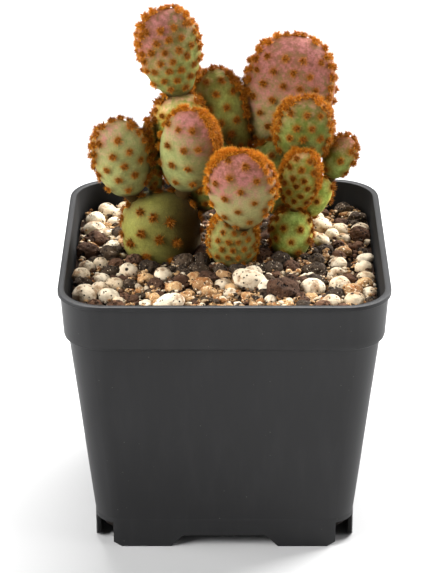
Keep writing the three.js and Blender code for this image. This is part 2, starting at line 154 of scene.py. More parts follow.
class NodeGraph:
    """Adds and links nodes in one shader or geometry tree."""

    def __init__(self, tree: bpy.types.NodeTree) -> None:
        """Keeps the tree."""
        self.tree = tree

    @staticmethod
    def _socket(sockets: bpy.types.bpy_prop_collection, name: str) -> bpy.types.NodeSocket:
        """Finds the enabled socket of that name."""
        for socket in sockets:
            if socket.name == name and socket.enabled:
                return socket
        raise KeyError(f"no socket {name!r} among {[socket.name for socket in sockets]}")

    def node(
        self,
        kind: str,
        settings: Optional[Dict[str, object]] = None,
        sockets: Optional[Dict[str, Value]] = None,
    ) -> bpy.types.Node:
        """Adds a node.

        Args:
            kind: The node's type.
            settings: The node's own properties, set before its sockets.
            sockets: Input sockets by name, each with a value or a Wire to link.

        Returns:
            The new node.
        """
        node = self.tree.nodes.new(kind)
        for name, value in (settings or {}).items():
            setattr(node, name, value)
        for name, value in (sockets or {}).items():
            self.feed(self._socket(node.inputs, name), value)
        return node

    def feed(self, socket: bpy.types.NodeSocket, value: Value) -> None:
        """Links a Wire to an input socket, or sets its value."""
        if isinstance(value, Wire):
            self.tree.links.new(value.socket, socket)
        else:
            socket.default_value = value

    def out(self, node: bpy.types.Node, name: str) -> Wire:
        """The node's output of that name as a Wire."""
        return Wire(self, self._socket(node.outputs, name))

    def math(self, operation: str, first: Value, second: Value = 0.0) -> Wire:
        """Adds a Math node.

        Args:
            operation: The Math node's operation.
            first: The first value.
            second: The second value, unused by one-value operations.

        Returns:
            The result.
        """
        node = self.tree.nodes.new("ShaderNodeMath")
        node.operation = operation
        self.feed(node.inputs[0], first)
        self.feed(node.inputs[1], second)
        return Wire(self, node.outputs[0])

    def pick(self, output: str, kind: str, settings: Optional[Dict[str, object]] = None,
             sockets: Optional[Dict[str, Value]] = None) -> Wire:
        """Adds a node and takes one of its outputs.

        Args:
            output: The output's name.
            kind: The node's type.
            settings: The node's own properties, set before its sockets.
            sockets: Input sockets by name, each with a value or a Wire to link.

        Returns:
            The output.
        """
        return self.out(self.node(kind, settings, sockets), output)

    def scaled(self, vector: Wire, factor: Value) -> Wire:
        """Multiplies a vector by a number."""
        return self.pick("Vector", "ShaderNodeVectorMath", {"operation": "SCALE"},
                         {"Vector": vector, "Scale": factor})

    def mix(self, share: Value, first: Value, second: Value, blend: str = "MIX") -> Wire:
        """Blends two colours.

        Args:
            share: How much of the second colour, from 0 to 1.
            first: The colour at share 0.
            second: The colour at share 1.
            blend: The Mix node's blend type.

        Returns:
            The blended colour.
        """
        return self.pick("Result", "ShaderNodeMix", {"data_type": "RGBA", "blend_type": blend},
                         {"Factor": share, "A": first, "B": second})

    def noise(self, scale: float, detail: float = 3.0, rough: float = 0.5,
              at: Optional[Wire] = None) -> Wire:
        """A noise value on object coordinates.

        Args:
            scale: Features per metre.
            detail: How many finer layers it has.
            rough: How strong the finer layers are.
            at: Another place to read it at.

        Returns:
            The noise, around 0.5.
        """
        node = self.node("ShaderNodeTexNoise", {"noise_dimensions": "3D"},
                         {"Vector": at or self.place(), "Scale": scale, "Detail": detail,
                          "Roughness": rough})
        return Wire(self, node.outputs[0])

    def cells(self, scale: float) -> Wire:
        """The distance to the nearest point of a pattern with this many cells per metre."""
        return self.pick("Distance", "ShaderNodeTexVoronoi", {"feature": "F1"},
                         {"Vector": self.place(), "Scale": scale})

    def place(self) -> Wire:
        """Object coordinates in a shader."""
        return self.pick("Object", "ShaderNodeTexCoord")

    def attribute(self, name: str) -> Wire:
        """A mesh attribute in a shader."""
        return self.pick("Fac", "ShaderNodeAttribute", {"attribute_name": name})

    def bump(self, height: Wire, strength: float, distance: float) -> Wire:
        """A normal from a height.

        Args:
            height: The height map.
            strength: The bump's strength.
            distance: The height of 1, in metres.

        Returns:
            The bumped normal.
        """
        return self.pick("Normal", "ShaderNodeBump", None,
                         {"Height": height, "Strength": strength, "Distance": distance})


class Surface:
    """A new material with one Principled shader and a graph to feed it."""

    def __init__(self, name: str, constants: Dict[str, Value]) -> None:
        """Makes the material.

        Args:
            name: The material's name.
            constants: Values for the Principled shader's own sockets.
        """
        self.material = bpy.data.materials.new(name)
        self.material.use_nodes = True
        self.graph = NodeGraph(self.material.node_tree)
        self.shader = self.material.node_tree.nodes["Principled BSDF"]
        for socket, value in constants.items():
            self.shader.inputs[socket].default_value = value

    def feed(self, **values: Value) -> bpy.types.Material:
        """Links values to the shader.

        Args:
            **values: Base_Color, Roughness, Normal or Emission_Color, each with its Wire.

        Returns:
            The finished material.
        """
        for name, value in values.items():
            self.graph.feed(self.shader.inputs[name.replace("_", " ")], value)
        return self.material


# Finishes


@dataclass(frozen=True)
class PadSkinFinish:
    """Velvety cactus skin, green at the base and blushing mauve toward the tip."""

    deep_green: Colour = srgb(104, 124, 46)
    pale_green: Colour = srgb(148, 168, 88)
    yellow_green: Colour = srgb(182, 176, 86)
    sage: Colour = srgb(197, 193, 132)
    mauve: Colour = srgb(138, 84, 62)
    pink: Colour = srgb(182, 116, 110)
    halo: Colour = srgb(158, 92, 20)
    # The dark brown that painted shade and the necks' own brown mix toward.
    shade_brown: Colour = srgb(70, 48, 9)

    def make(self) -> bpy.types.Material:
        """Builds the skin from the pad's blush, yellow, bloom, halo and tone, and its darkening, which is
        painted shade and the necks' brown.
        """
        surface = Surface("pad_skin", {"Sheen Weight": 0.06, "Sheen Roughness": 0.5, "IOR": 1.4,
                                       "Sheen Tint": srgb(255, 226, 190), "Specular IOR Level": 0.2})
        graph = surface.graph
        patches = graph.noise(230.0, 2.0)
        mottle = graph.noise(800.0, 4.0, 0.65)
        grain = graph.noise(2600.0, 3.0, 0.6)
        green = graph.mix((patches * 0.6 + mottle * 0.4).smooth(0.36, 0.64),
                          self.deep_green, self.pale_green)
        green = graph.mix(graph.attribute("yellow"), green, self.yellow_green)
        green = graph.mix(graph.attribute("bloom") * (0.4 + patches * 1.2).clamped(), green, self.sage)
        flush = graph.mix((patches * 0.4 + mottle * 0.6).smooth(0.38, 0.62), self.mauve, self.pink)
        share = graph.attribute("blush") + (patches - 0.5) * 0.6 + (mottle - 0.5) * 0.9
        colour = graph.mix(share.smooth(0.1, 0.9), green, flush)
        colour = graph.mix(graph.attribute("halo") * 0.85, colour, self.halo)
        # Painted shade in crevices and on shaded sides darkens the skin toward the dark brown, as do the
        # necks' own brown and the base near the mix.
        colour = graph.mix(graph.attribute("shade_and_brown"), colour, self.shade_brown)
        # The pad's tone, partly its own and partly painted light and shade, scales the mottled skin.
        shade = (0.8 + (mottle - 0.5) * 0.5 + (grain - 0.5) * 0.7).clamped() * graph.attribute("tone")
        tint = graph.pick("Color", "ShaderNodeCombineColor", None,
                          {"Red": shade, "Green": shade, "Blue": shade})
        colour = graph.mix(1.0, colour, tint, "MULTIPLY")
        height = mottle * 0.5 + grain * 0.5
        return surface.feed(Base_Color=colour, Roughness=0.66 + (mottle - 0.5) * 0.3,
                            Normal=graph.bump(height, 0.5, 0.0005))


@dataclass(frozen=True)
class BristleFinish:
    """Rust-orange bristles, dark where they leave the pad and golden at their tips."""

    root: Colour = srgb(136, 78, 6)
    middle: Colour = srgb(194, 117, 13)
    tip: Colour = srgb(240, 176, 64)
    rust: Colour = srgb(126, 72, 6)

    def make(self) -> bpy.types.Material:
        """Builds the bristle colour from the tip and tone attributes."""
        surface = Surface("bristle", {"Roughness": 0.6, "Specular IOR Level": 0.15})
        graph = surface.graph
        tip = graph.attribute("tip")
        colour = graph.mix(tip.smooth(0.0, 0.45), self.root, self.middle)
        colour = graph.mix(tip.smooth(0.45, 1.0), colour, self.tip)
        colour = graph.mix(graph.attribute("tone").smooth(0.15, 0.8) * 0.92, colour, self.rust)
        return surface.feed(Base_Color=colour)


@dataclass(frozen=True)
class StoneFinish:
    """A porous stone with pinholes, a few deep holes, stains and specks, and a tone of its own; its
    pinholes, holes and dimples are dark with painted shade.
    """

    name: str
    light: Colour
    dark: Colour
    # pit is the painted shade in pinholes, holes and dimples.
    pit: Colour
    stain: Colour
    speck: Colour
    pinholes: float
    holes: float
    stained: float
    speckled: float
    grain_scale: float
    relief: float = 0.7

    def make(self) -> bpy.types.Material:
        """Builds the stone from its tone and pit attributes and fine grain."""
        surface = Surface(self.name, {"Roughness": 0.92, "Specular IOR Level": 0.2})
        graph = surface.graph
        cloud = graph.noise(self.grain_scale * 0.35, 4.0, 0.6)
        grain = graph.noise(self.grain_scale, 4.0, 0.7)
        share = (graph.attribute("tone") * 0.5 + (cloud - 0.5) * 1.1 + (grain - 0.5) * 0.6 + 0.15).clamped()
        colour = graph.mix(share, self.light, self.dark)
        stains = graph.noise(320.0, 3.0, 0.6).smooth(0.68 - self.stained, 0.78 - self.stained * 0.6)
        colour = graph.mix(stains * 0.8, colour, self.stain)
        specks = graph.noise(self.grain_scale * 1.7, 2.0).smooth(0.74 - self.speckled, 0.8 - self.speckled)
        colour = graph.mix(specks, colour, self.speck)
        # The pinholes and holes are painted dark as shade, and only the bump sinks them.
        pinholes = 1.0 - graph.cells(820.0).smooth(0.13, 0.28)
        pinholes = pinholes * graph.noise(500.0, 1.0).smooth(0.62 - self.pinholes, 0.7 - self.pinholes)
        holes = 1.0 - graph.cells(260.0).smooth(0.1, 0.2)
        holes = holes * graph.noise(150.0, 1.0).smooth(0.66 - self.holes, 0.72 - self.holes)
        pits = graph.math("MAXIMUM", pinholes, graph.math("MAXIMUM", holes, graph.attribute("pit") * 0.8))
        colour = graph.mix(pits.clamped(), colour, self.pit)
        height = grain * 0.7 + cloud * 0.4 - pits * 0.9
        return surface.feed(Base_Color=colour, Normal=graph.bump(height, self.relief, 0.0009))


@dataclass(frozen=True)
class SoilFinish:
    """Dark crumbly fines between the stones."""

    dark: Colour = srgb(22, 15, 11)
    brown: Colour = srgb(84, 58, 38)
    dark_below: float = 0.062
    dark_edge: float = 0.004

    def make(self) -> bpy.types.Material:
        """Builds the fines, which are nearly black in the lower part of the pot."""
        surface = Surface("mix_fines", {"Roughness": 0.95, "Specular IOR Level": 0.2})
        graph = surface.graph
        crumbs = graph.cells(900.0)
        grain = graph.noise(1500.0, 5.0, 0.7)
        height = graph.pick("Z", "ShaderNodeSeparateXYZ", None, {"Vector": graph.place()})
        upper_share = height.smooth(self.dark_below, self.dark_below + self.dark_edge)
        colour = graph.mix((crumbs * 0.6 + (grain - 0.5)).clamped() * upper_share, self.dark, self.brown)
        return surface.feed(Base_Color=colour, Normal=graph.bump(crumbs + grain, 0.9, 0.0008))


@dataclass(frozen=True)
class PotPlasticFinish:
    """Black moulded plastic with a satin skin, fine scuffs and a little dust."""

    plastic: Colour = srgb(27, 27, 28)
    worn: Colour = srgb(45, 45, 46)
    dust: Colour = srgb(120, 117, 112)
    soil_and_shade: Colour = srgb(13, 11, 9)

    def make(self) -> bpy.types.Material:
        """Builds the plastic, darkened with soil and painted shade where the inside attribute is 1."""
        surface = Surface("pot_plastic", {"Specular IOR Level": 0.3})
        graph = surface.graph
        upright = graph.pick("Vector", "ShaderNodeMapping", None,
                             {"Vector": graph.place(), "Scale": (1.0, 1.0, 0.16)})
        streaks = graph.noise(260.0, 4.0, 0.6, at=upright)
        skin = graph.noise(3200.0, 2.0)
        scuffs = graph.noise(950.0, 5.0, 0.7).smooth(0.62, 0.8)
        motes = 1.0 - graph.cells(420.0).smooth(0.03, 0.07)
        colour = graph.mix(scuffs * 0.5 + streaks.smooth(0.4, 0.75) * 0.25, self.plastic, self.worn)
        colour = graph.mix(motes * graph.noise(90.0, 1.0).smooth(0.5, 0.6) * 0.5, colour, self.dust)
        # Inside the pot the plastic darkens, partly with soil and partly as painted shade.
        inside = graph.attribute("inside")
        colour = graph.mix(inside * 0.92, colour, self.soil_and_shade)
        roughness = 0.42 + streaks * 0.12 + scuffs * 0.1 + inside * 0.45
        return surface.feed(Base_Color=colour, Roughness=roughness,
                            Normal=graph.bump(skin * 0.6 + scuffs * 0.4, 0.12, 0.0002))


@dataclass(frozen=True)
class SweepFinish:
    """The plain pale floor, which glows beyond the lights' reach."""

    paper: Colour = (0.5, 0.5, 0.5, 1.0)
    unlit: Colour = (0.0, 0.0, 0.0, 1.0)
    lit: Colour = (1.0, 1.0, 1.0, 1.0)
    glow_from: float = 0.4
    glow_full: float = 1.1

    def make(self) -> bpy.types.Material:
        """Builds the matt surface with a glow that sets in away from the pot, in metres."""
        surface = Surface("floor_white", {"Base Color": self.paper, "Roughness": 1.0,
                                          "Specular IOR Level": 0.0, "Emission Strength": 0.85})
        graph = surface.graph
        away = graph.pick("Value", "ShaderNodeVectorMath", {"operation": "LENGTH"},
                          {"Vector": graph.place()})
        glow = away.smooth(self.glow_from, self.glow_full)
        return surface.feed(Emission_Color=graph.mix(glow, self.unlit, self.lit))


class StoneKind(Enum):
    """The stones of the mix, each with its finish and its ways of being rough."""

    PUMICE = "pumice"
    CLAY = "clay"
    RED_LAVA = "red_lava"
    BLACK_LAVA = "black_lava"


STONE_FINISHES: Dict[StoneKind, StoneFinish] = {
    StoneKind.PUMICE: StoneFinish(
        "pumice_white", light=srgb(234, 221, 196), dark=srgb(174, 147, 110), pit=srgb(26, 19, 14),
        stain=srgb(134, 98, 62), speck=srgb(96, 76, 58), pinholes=0.24, holes=0.17, stained=0.18,
        speckled=0.05, grain_scale=900.0),
    StoneKind.CLAY: StoneFinish(
        "clay_tan", light=srgb(212, 172, 122), dark=srgb(94, 58, 32), pit=srgb(40, 24, 14),
        stain=srgb(146, 90, 42), speck=srgb(236, 220, 190), pinholes=0.2, holes=0.12, stained=0.22,
        speckled=0.13, grain_scale=1000.0, relief=1.0),
    # The light specks on the lava stand partly for light grains in the stone and partly for painted glints.
    StoneKind.RED_LAVA: StoneFinish(
        "lava_red", light=srgb(104, 74, 54), dark=srgb(36, 24, 18), pit=srgb(8, 6, 5),
        stain=srgb(70, 42, 26), speck=srgb(180, 150, 124), pinholes=0.3, holes=0.18, stained=0.15,
        speckled=0.06, grain_scale=1100.0, relief=1.0),
    StoneKind.BLACK_LAVA: StoneFinish(
        "lava_black", light=srgb(84, 68, 52), dark=srgb(24, 18, 14), pit=srgb(5, 4, 4),
        stain=srgb(50, 38, 30), speck=srgb(206, 190, 166), pinholes=0.3, holes=0.16, stained=0.14,
        speckled=0.08, grain_scale=1100.0, relief=1.0),
}


# Meshes and objects


def new_object(name: str, mesh: bpy.types.Mesh) -> bpy.types.Object:
    """Puts a mesh in the scene as an object at the origin."""
    piece = bpy.data.objects.new(name, mesh)
    bpy.context.scene.collection.objects.link(piece)
    return piece


def mesh_from(name: str, points: np.ndarray, faces: Sequence[Sequence[int]],
              smooth_angle: float = math.pi) -> bpy.types.Mesh:
    """Makes a mesh from points in millimetres.

    Args:
        name: The mesh's name.
        points: One row of x, y, z for each vertex.
        faces: Vertex numbers of each face.
        smooth_angle: Edges sharper than this, in radians, stay sharp.

    Returns:
        The mesh in metres, with smooth shading.
    """
    mesh = bpy.data.meshes.new(name)
    mesh.from_pydata((points * MM).tolist(), [], [list(face) for face in faces])
    mesh.validate()
    mesh.polygons.foreach_set("use_smooth", [True] * len(mesh.polygons))
    if smooth_angle < math.pi:
        mesh.set_sharp_from_angle(angle=smooth_angle)
    return mesh


def set_attribute(mesh: bpy.types.Mesh, name: str, values: np.ndarray) -> None:
    """Stores one number or one vector for each vertex."""
    is_vector = values.ndim == 2
    attribute = mesh.attributes.new(name, "FLOAT_VECTOR" if is_vector else "FLOAT", "POINT")
    attribute.data.foreach_set("vector" if is_vector else "value", values.astype(np.float32).ravel())


def ring_faces(rings: int, around: int) -> List[Tuple[int, int, int, int]]:
    """Quads between rings of vertices that run one after another.

    Args:
        rings: How many rings there are.
        around: Vertices in each ring, counter-clockwise seen from the last ring.

    Returns:
        The quads, facing out.
    """
    faces = []
    for ring in range(rings - 1):
        for step in range(around):
            here = ring * around + step
            beside = ring * around + (step + 1) % around
            faces.append((here, beside, beside + around, here + around))
    return faces


def finish_piece(piece: bpy.types.Object, slot: str, *nodes: str) -> None:
    """Hands a piece to the frame: its body and the CAD nodes that it stands for."""
    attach(piece, BODY)
    if nodes:
        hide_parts(*nodes)
    LOG.info("%s: %d faces", piece.name, len(piece.data.polygons))


class PointRecipe:
    """A Geometry Nodes tree that grows meshes on a cloud of points."""

    def __init__(self, name: str, inputs: Dict[str, Tuple[str, object]]) -> None:
        """Starts the tree.

        Args:
            name: The tree's name.
            inputs: Named inputs, each with its socket type and its default.
        """
        self.tree = bpy.data.node_groups.new(name, "GeometryNodeTree")
        interface = self.tree.interface
        interface.new_socket("Points", in_out="INPUT", socket_type="NodeSocketGeometry")
        self.identifiers: Dict[str, str] = {}
        for label, (kind, default) in inputs.items():
            socket = interface.new_socket(label, in_out="INPUT", socket_type=kind)
            if default is not None:
                socket.default_value = default
            self.identifiers[label] = socket.identifier
        interface.new_socket("Geometry", in_out="OUTPUT", socket_type="NodeSocketGeometry")
        self.graph = NodeGraph(self.tree)
        self.source = self.graph.node("NodeGroupInput")

    def input(self, label: str) -> Wire:
        """One of the tree's inputs."""
        return self.graph.out(self.source, label)

    def random(self, low: float, high: float, seed: int) -> Wire:
        """A random number for each point."""
        return self.graph.pick("Value", "FunctionNodeRandomValue", {"data_type": "FLOAT"},
                               {"Min": low, "Max": high, "Seed": seed})

    def stored(self, name: str, kind: str = "FLOAT") -> Wire:
        """An attribute stored on the points."""
        return self.graph.pick("Attribute", "GeometryNodeInputNamedAttribute", {"data_type": kind},
                               {"Name": name})

    def position(self) -> Wire:
        """Where each point or vertex is."""
        return self.graph.pick("Position", "GeometryNodeInputPosition")

    def aligned(self, direction: Wire) -> Wire:
        """The rotation that turns +Z to a direction."""
        return self.graph.pick("Rotation", "FunctionNodeAlignRotationToVector", {"axis": "Z"},
                               {"Vector": direction})

    def store(self, geometry: Wire, name: str, value: Value) -> Wire:
        """The geometry with one more number on each point."""
        return self.graph.pick("Geometry", "GeometryNodeStoreNamedAttribute",
                               {"data_type": "FLOAT", "domain": "POINT"},
                               {"Geometry": geometry, "Name": name, "Value": value})

    def realized(self, instances: Wire) -> Wire:
        """Instances turned into plain geometry."""
        return self.graph.pick("Geometry", "GeometryNodeRealizeInstances", None,
                               {"Geometry": instances})

    def close(self, geometry: Wire, material: Wire) -> None:
        """Ends the tree in Realize Instances and Set Material.

        Args:
            geometry: What the tree has made.
            material: The material input.
        """
        dressed = self.graph.pick("Geometry", "GeometryNodeSetMaterial", None,
                                  {"Geometry": self.realized(geometry), "Material": material})
        self.graph.feed(self.graph.node("NodeGroupOutput").inputs[0], dressed)

    def grow(self, name: str, points: np.ndarray, attributes: Dict[str, np.ndarray],
             values: Dict[str, object]) -> bpy.types.Object:
        """Runs the tree on points and keeps the result as a plain mesh.

        Args:
            name: The new piece's name.
            points: The points in millimetres.
            attributes: What each point carries.
            values: The tree's inputs by name.

        Returns:
            The piece, with no modifier left on it.
        """
        seeds = mesh_from(name + "_points", points, [])
        for label, data in attributes.items():
            set_attribute(seeds, label, data)
        carrier = new_object(name + "_carrier", seeds)
        modifier = carrier.modifiers.new("grow", "NODES")
        modifier.node_group = self.tree
        for label, value in values.items():
            modifier[self.identifiers[label]] = value
        depsgraph = bpy.context.evaluated_depsgraph_get()
        evaluated = carrier.evaluated_get(depsgraph)
        mesh = bpy.data.meshes.new_from_object(evaluated, preserve_all_data_layers=True,
                                               depsgraph=depsgraph)
        mesh.name = name
        carrier.modifiers.remove(modifier)
        bpy.data.objects.remove(carrier)
        return new_object(name, mesh)


# The plant


@dataclass(frozen=True)
class PadSpec:
    """One pad: its place and size in millimetres, its lean in degrees and how it looks.

    lean tips it to +X, pitch tips its top toward -Y, and turn faces it toward +X. square_top and
    square_low are 2 for an ellipse and more for squarer shoulders. blush gives the heights, from
    -1 at the base to 1 at the tip, between which green turns mauve, blush_most how far, and
    blush_side moves the blush toward +X, or toward -X below 0. tone makes the whole pad lighter or
    darker and tip_tone its tip, partly as the pad's own tone and partly as painted light and
    painted shade, and bloom is how much pale wax its green part carries. crevice_shade is how far
    the painted shade in the crevices beside its neighbours reaches, and side_shade how much painted
    shade darkens its skin toward +X. rim_tone is 0 for golden tufts on the rim and 1 for rusty
    ones, crowded gives the heights below which the rim's tufts thin out toward -X and toward +X,
    and bare_left leaves out the rim's front row toward -X. front_spots are areoles given one by
    one, across and up from the centre, and front_tone is how rusty they are. neck is the neck's
    share of the full width.
    """

    name: str
    centre: Triple
    half: Triple
    egg: float
    parent: Optional[str] = None
    lean: float = 0.0
    pitch: float = 0.0
    turn: float = 0.0
    square_top: float = 2.1
    square_low: float = 2.0
    blush: Tuple[float, float] = (-0.2, 1.0)
    blush_most: float = 0.8
    blush_side: float = 0.0
    yellow: float = 0.0
    tone: float = 1.0
    tip_tone: float = 1.0
    bloom: float = 0.0
    crevice_shade: float = 2.2
    face_step: float = 4.8
    rim_step: float = 3.2
    rim_rows: int = 3
    rim_size: float = 1.0
    rim_tone: float = 0.7
    crowded: Tuple[float, float] = (0.0, 0.0)
    bare_left: bool = False
    face_size: float = 0.92
    side_shade: float = 0.0
    neck: float = 0.24
    front_tone: float = 0.85
    front_spots: Tuple[Tuple[float, float], ...] = ()


# Tones well above 1 are painted light on pads that sit in shade, and low tones and tip tones are partly
# painted shade; the pad at the base left carries painted shade on its +X side and far into its crevices.
PAD_SPECS: Tuple[PadSpec, ...] = (
    PadSpec("pad_base_left", (-17.9, 9.0, 76.8), (11.3, 11.7, 9.2), 0.0, None, -3,
            square_top=2.7, square_low=2.3, blush_most=0.0, yellow=0.8, tone=0.67, crevice_shade=5.5,
            face_step=6.2, rim_step=4.4, rim_rows=2, rim_size=1.1, rim_tone=0.95, side_shade=0.95,
            front_tone=1.3, face_size=1.25,
            front_spots=((-5.2, 3.0), (-1.6, 7.5), (2.9, 6.0), (-0.3, 1.3), (-4.2, -4.0), (-5.2, 8.6),
                         (4.4, 0.0), (2.6, -5.5), (-8.4, -0.6))),
    PadSpec("pad_base_front", (2.4, 2.0, 76.4), (6.9, 8.6, 5.4), -0.02, None,
            square_top=2.8, blush_most=0.3, bloom=0.2, tone=0.85, crevice_shade=1.6, face_step=2.9,
            rim_step=1.8, rim_size=0.8, face_size=0.75, rim_tone=0.3),
    PadSpec("pad_base_right", (18.9, 9.5, 75.5), (6.0, 8.3, 5.8), 0.0, None, 4,
            square_top=2.2, blush_most=0.0, tone=2.0, crevice_shade=1.0, face_step=4.6),
    PadSpec("pad_left", (-28.8, 7.2, 99.6), (7.8, 11.9, 5.2), 0.1, "pad_base_left", -13, 4, 8,
            square_low=2.35, blush=(-0.1, 1.1), blush_most=0.6, blush_side=-0.2, bloom=0.5, tone=0.91,
            rim_step=2.9, rim_size=1.12),
    PadSpec("pad_front_left", (-9.9, 5.0, 102.7), (8.3, 13.8, 5.2), 0.05, "pad_base_left", 10, 12, -15,
            blush=(-0.4, 0.9), blush_most=0.85, blush_side=0.25, bloom=0.5, tone=0.82, rim_step=1.6,
            rim_tone=0.42, crowded=(1.0, 0.1), bare_left=True,
            front_spots=((-6.2, 8.6), (-3.0, 9.0), (0.9, 9.8), (-5.4, 3.0), (-0.4, 3.6), (3.3, 4.7),
                         (-7.0, -4.5), (-3.3, -2.6), (1.4, -2.2), (-5.2, -9.6), (-1.8, -8.6),
                         (3.0, -7.9))),
    PadSpec("pad_back_left", (-12.9, 14.0, 102.6), (7.4, 13.5, 4.6), 0.08, "pad_base_left", 1, -6,
            square_top=2.7, blush=(-0.4, 1.0), blush_most=0.5, tone=1.8, rim_size=1.15),
    PadSpec("pad_mid_left", (-4.2, 14.0, 92.0), (7.6, 11.0, 4.6), 0.06, "pad_base_left", 10,
            blush_most=0.2),
    PadSpec("pad_edge_left", (-20.5, 12.5, 97.6), (4.6, 11.6, 2.8), 0.06, "pad_base_left", -4, -5, 82,
            blush_most=0.5, rim_step=2.2, neck=0.7),
    PadSpec("pad_back_centre", (-1.3, 20.0, 106.2), (8.4, 14.5, 4.9), 0.0, "pad_mid_left", -8, -12,
            square_low=3.4, blush=(0.3, 1.2), blush_most=0.5, yellow=0.35, tone=0.86, crevice_shade=3.4,
            rim_step=2.6, rim_size=1.35),
    PadSpec("pad_top_left", (-15.1, 15.0, 127.7), (8.4, 13.3, 5.6), 0.12, "pad_back_left", -10, 0, 10,
            square_top=2.3, square_low=1.9, blush=(-0.5, 0.9), blush_most=0.85, blush_side=-0.4, bloom=0.15,
            tone=0.95, tip_tone=0.72, rim_step=2.4, rim_size=1.1, face_step=3.7, face_size=1.0,
            rim_tone=0.4),
    PadSpec("pad_lower_right", (26.0, 12.5, 85.8), (4.0, 6.3, 3.6), 0.04, "pad_base_right", 24,
            blush_most=0.2, yellow=0.1, tone=2.1, crevice_shade=0.8),
    PadSpec("pad_far_right", (32.3, 13.5, 97.5), (4.4, 6.9, 3.4), 0.12, "pad_lower_right", 18,
            square_low=1.9, blush=(-0.2, 0.9), blush_most=0.8, tone=1.15, rim_step=2.2),
    PadSpec("pad_mid_right", (14.8, 14.5, 90.8), (8.4, 11.0, 5.4), 0.04, "pad_base_right", -9, -8,
            blush_most=0.2),
    PadSpec("pad_upper_right", (22.1, 11.0, 106.2), (7.9, 10.4, 4.5), 0.08, "pad_mid_right", 3, 6,
            square_low=2.2, blush=(-0.1, 1.1), blush_most=0.65, tone=0.86, rim_step=2.3,
            rim_size=1.08, rim_tone=0.5, face_step=4.2),
    PadSpec("pad_top_right", (18.0, 22.5, 111.8), (12.6, 18.0, 5.8), 0.09, "pad_mid_right", 7, -10,
            square_top=2.3, square_low=2.35, blush=(-1.2, 0.6), blush_most=0.84, bloom=0.5,
            tone=0.98, tip_tone=0.92, rim_step=2.9, rim_size=1.15, rim_tone=0.45, face_step=5.0),
    PadSpec("pad_small_right", (21.1, 6.0, 93.6), (5.4, 9.7, 3.8), 0.08, "pad_base_right", 11, 10, -14,
            blush=(-0.4, 1.1), blush_most=0.4, tone=1.55, tip_tone=0.8, crevice_shade=1.4, face_step=3.3,
            rim_step=1.7, rim_size=0.9, rim_tone=0.2),
    PadSpec("pad_front", (4.6, -4.0, 94.4), (9.5, 12.6, 4.8), 0.17, "pad_base_front", 2, 10, -12,
            square_low=1.95, blush=(-0.6, 0.8), blush_most=1.0, blush_side=-0.15, bloom=0.9, tone=0.87,
            rim_step=1.5, rim_tone=0.15, crowded=(0.85, 0.9),
            front_spots=((-3.0, 11.0), (1.9, 10.1), (-2.3, 6.7), (-6.4, 4.0), (5.1, 6.2), (0.8, 2.9),
                         (8.4, 2.4), (-3.6, 0.0), (4.5, -0.7), (-7.6, -4.0), (0.0, -4.0),
                         (-4.0, -7.0), (3.0, -7.8), (-0.9, -10.4), (7.2, -3.7))),
)


@dataclass(frozen=True)
class SkinShading:
    """Where a pad's skin darkens, in height shares from -1 to 1 unless it says otherwise.

    The tip's own tone sets in at tip_from and is full tip_span higher. crevice_shade_most is the
    darkest painted shade that a neighbour casts on the skin. A pad that stands in the mix is
    soil_dark at soil_level and loses it over soil_fade millimetres, up to soil_most. Other pads
    darken below neck_from over neck_fade, up to neck_most, partly with the neck's own brown and
    partly as painted shade where they join. side_shade_slope and side_shade_middle place the
    painted shade on the side toward +X across the width.
    """

    tip_from: float = 0.1
    tip_span: float = 0.7
    crevice_shade_most: float = 0.8
    soil_dark: float = 0.55
    soil_fade: float = 6.0
    soil_most: float = 0.7
    neck_from: float = -0.8
    neck_fade: float = 0.18
    neck_most: float = 0.98
    side_shade_slope: float = 0.75
    side_shade_middle: float = 0.53
    halo_power: float = 1.4


@dataclass
class Areole:
    """A spot on a pad that carries a tuft."""

    point: Vector
    normal: Vector
    size: float
    tone: float


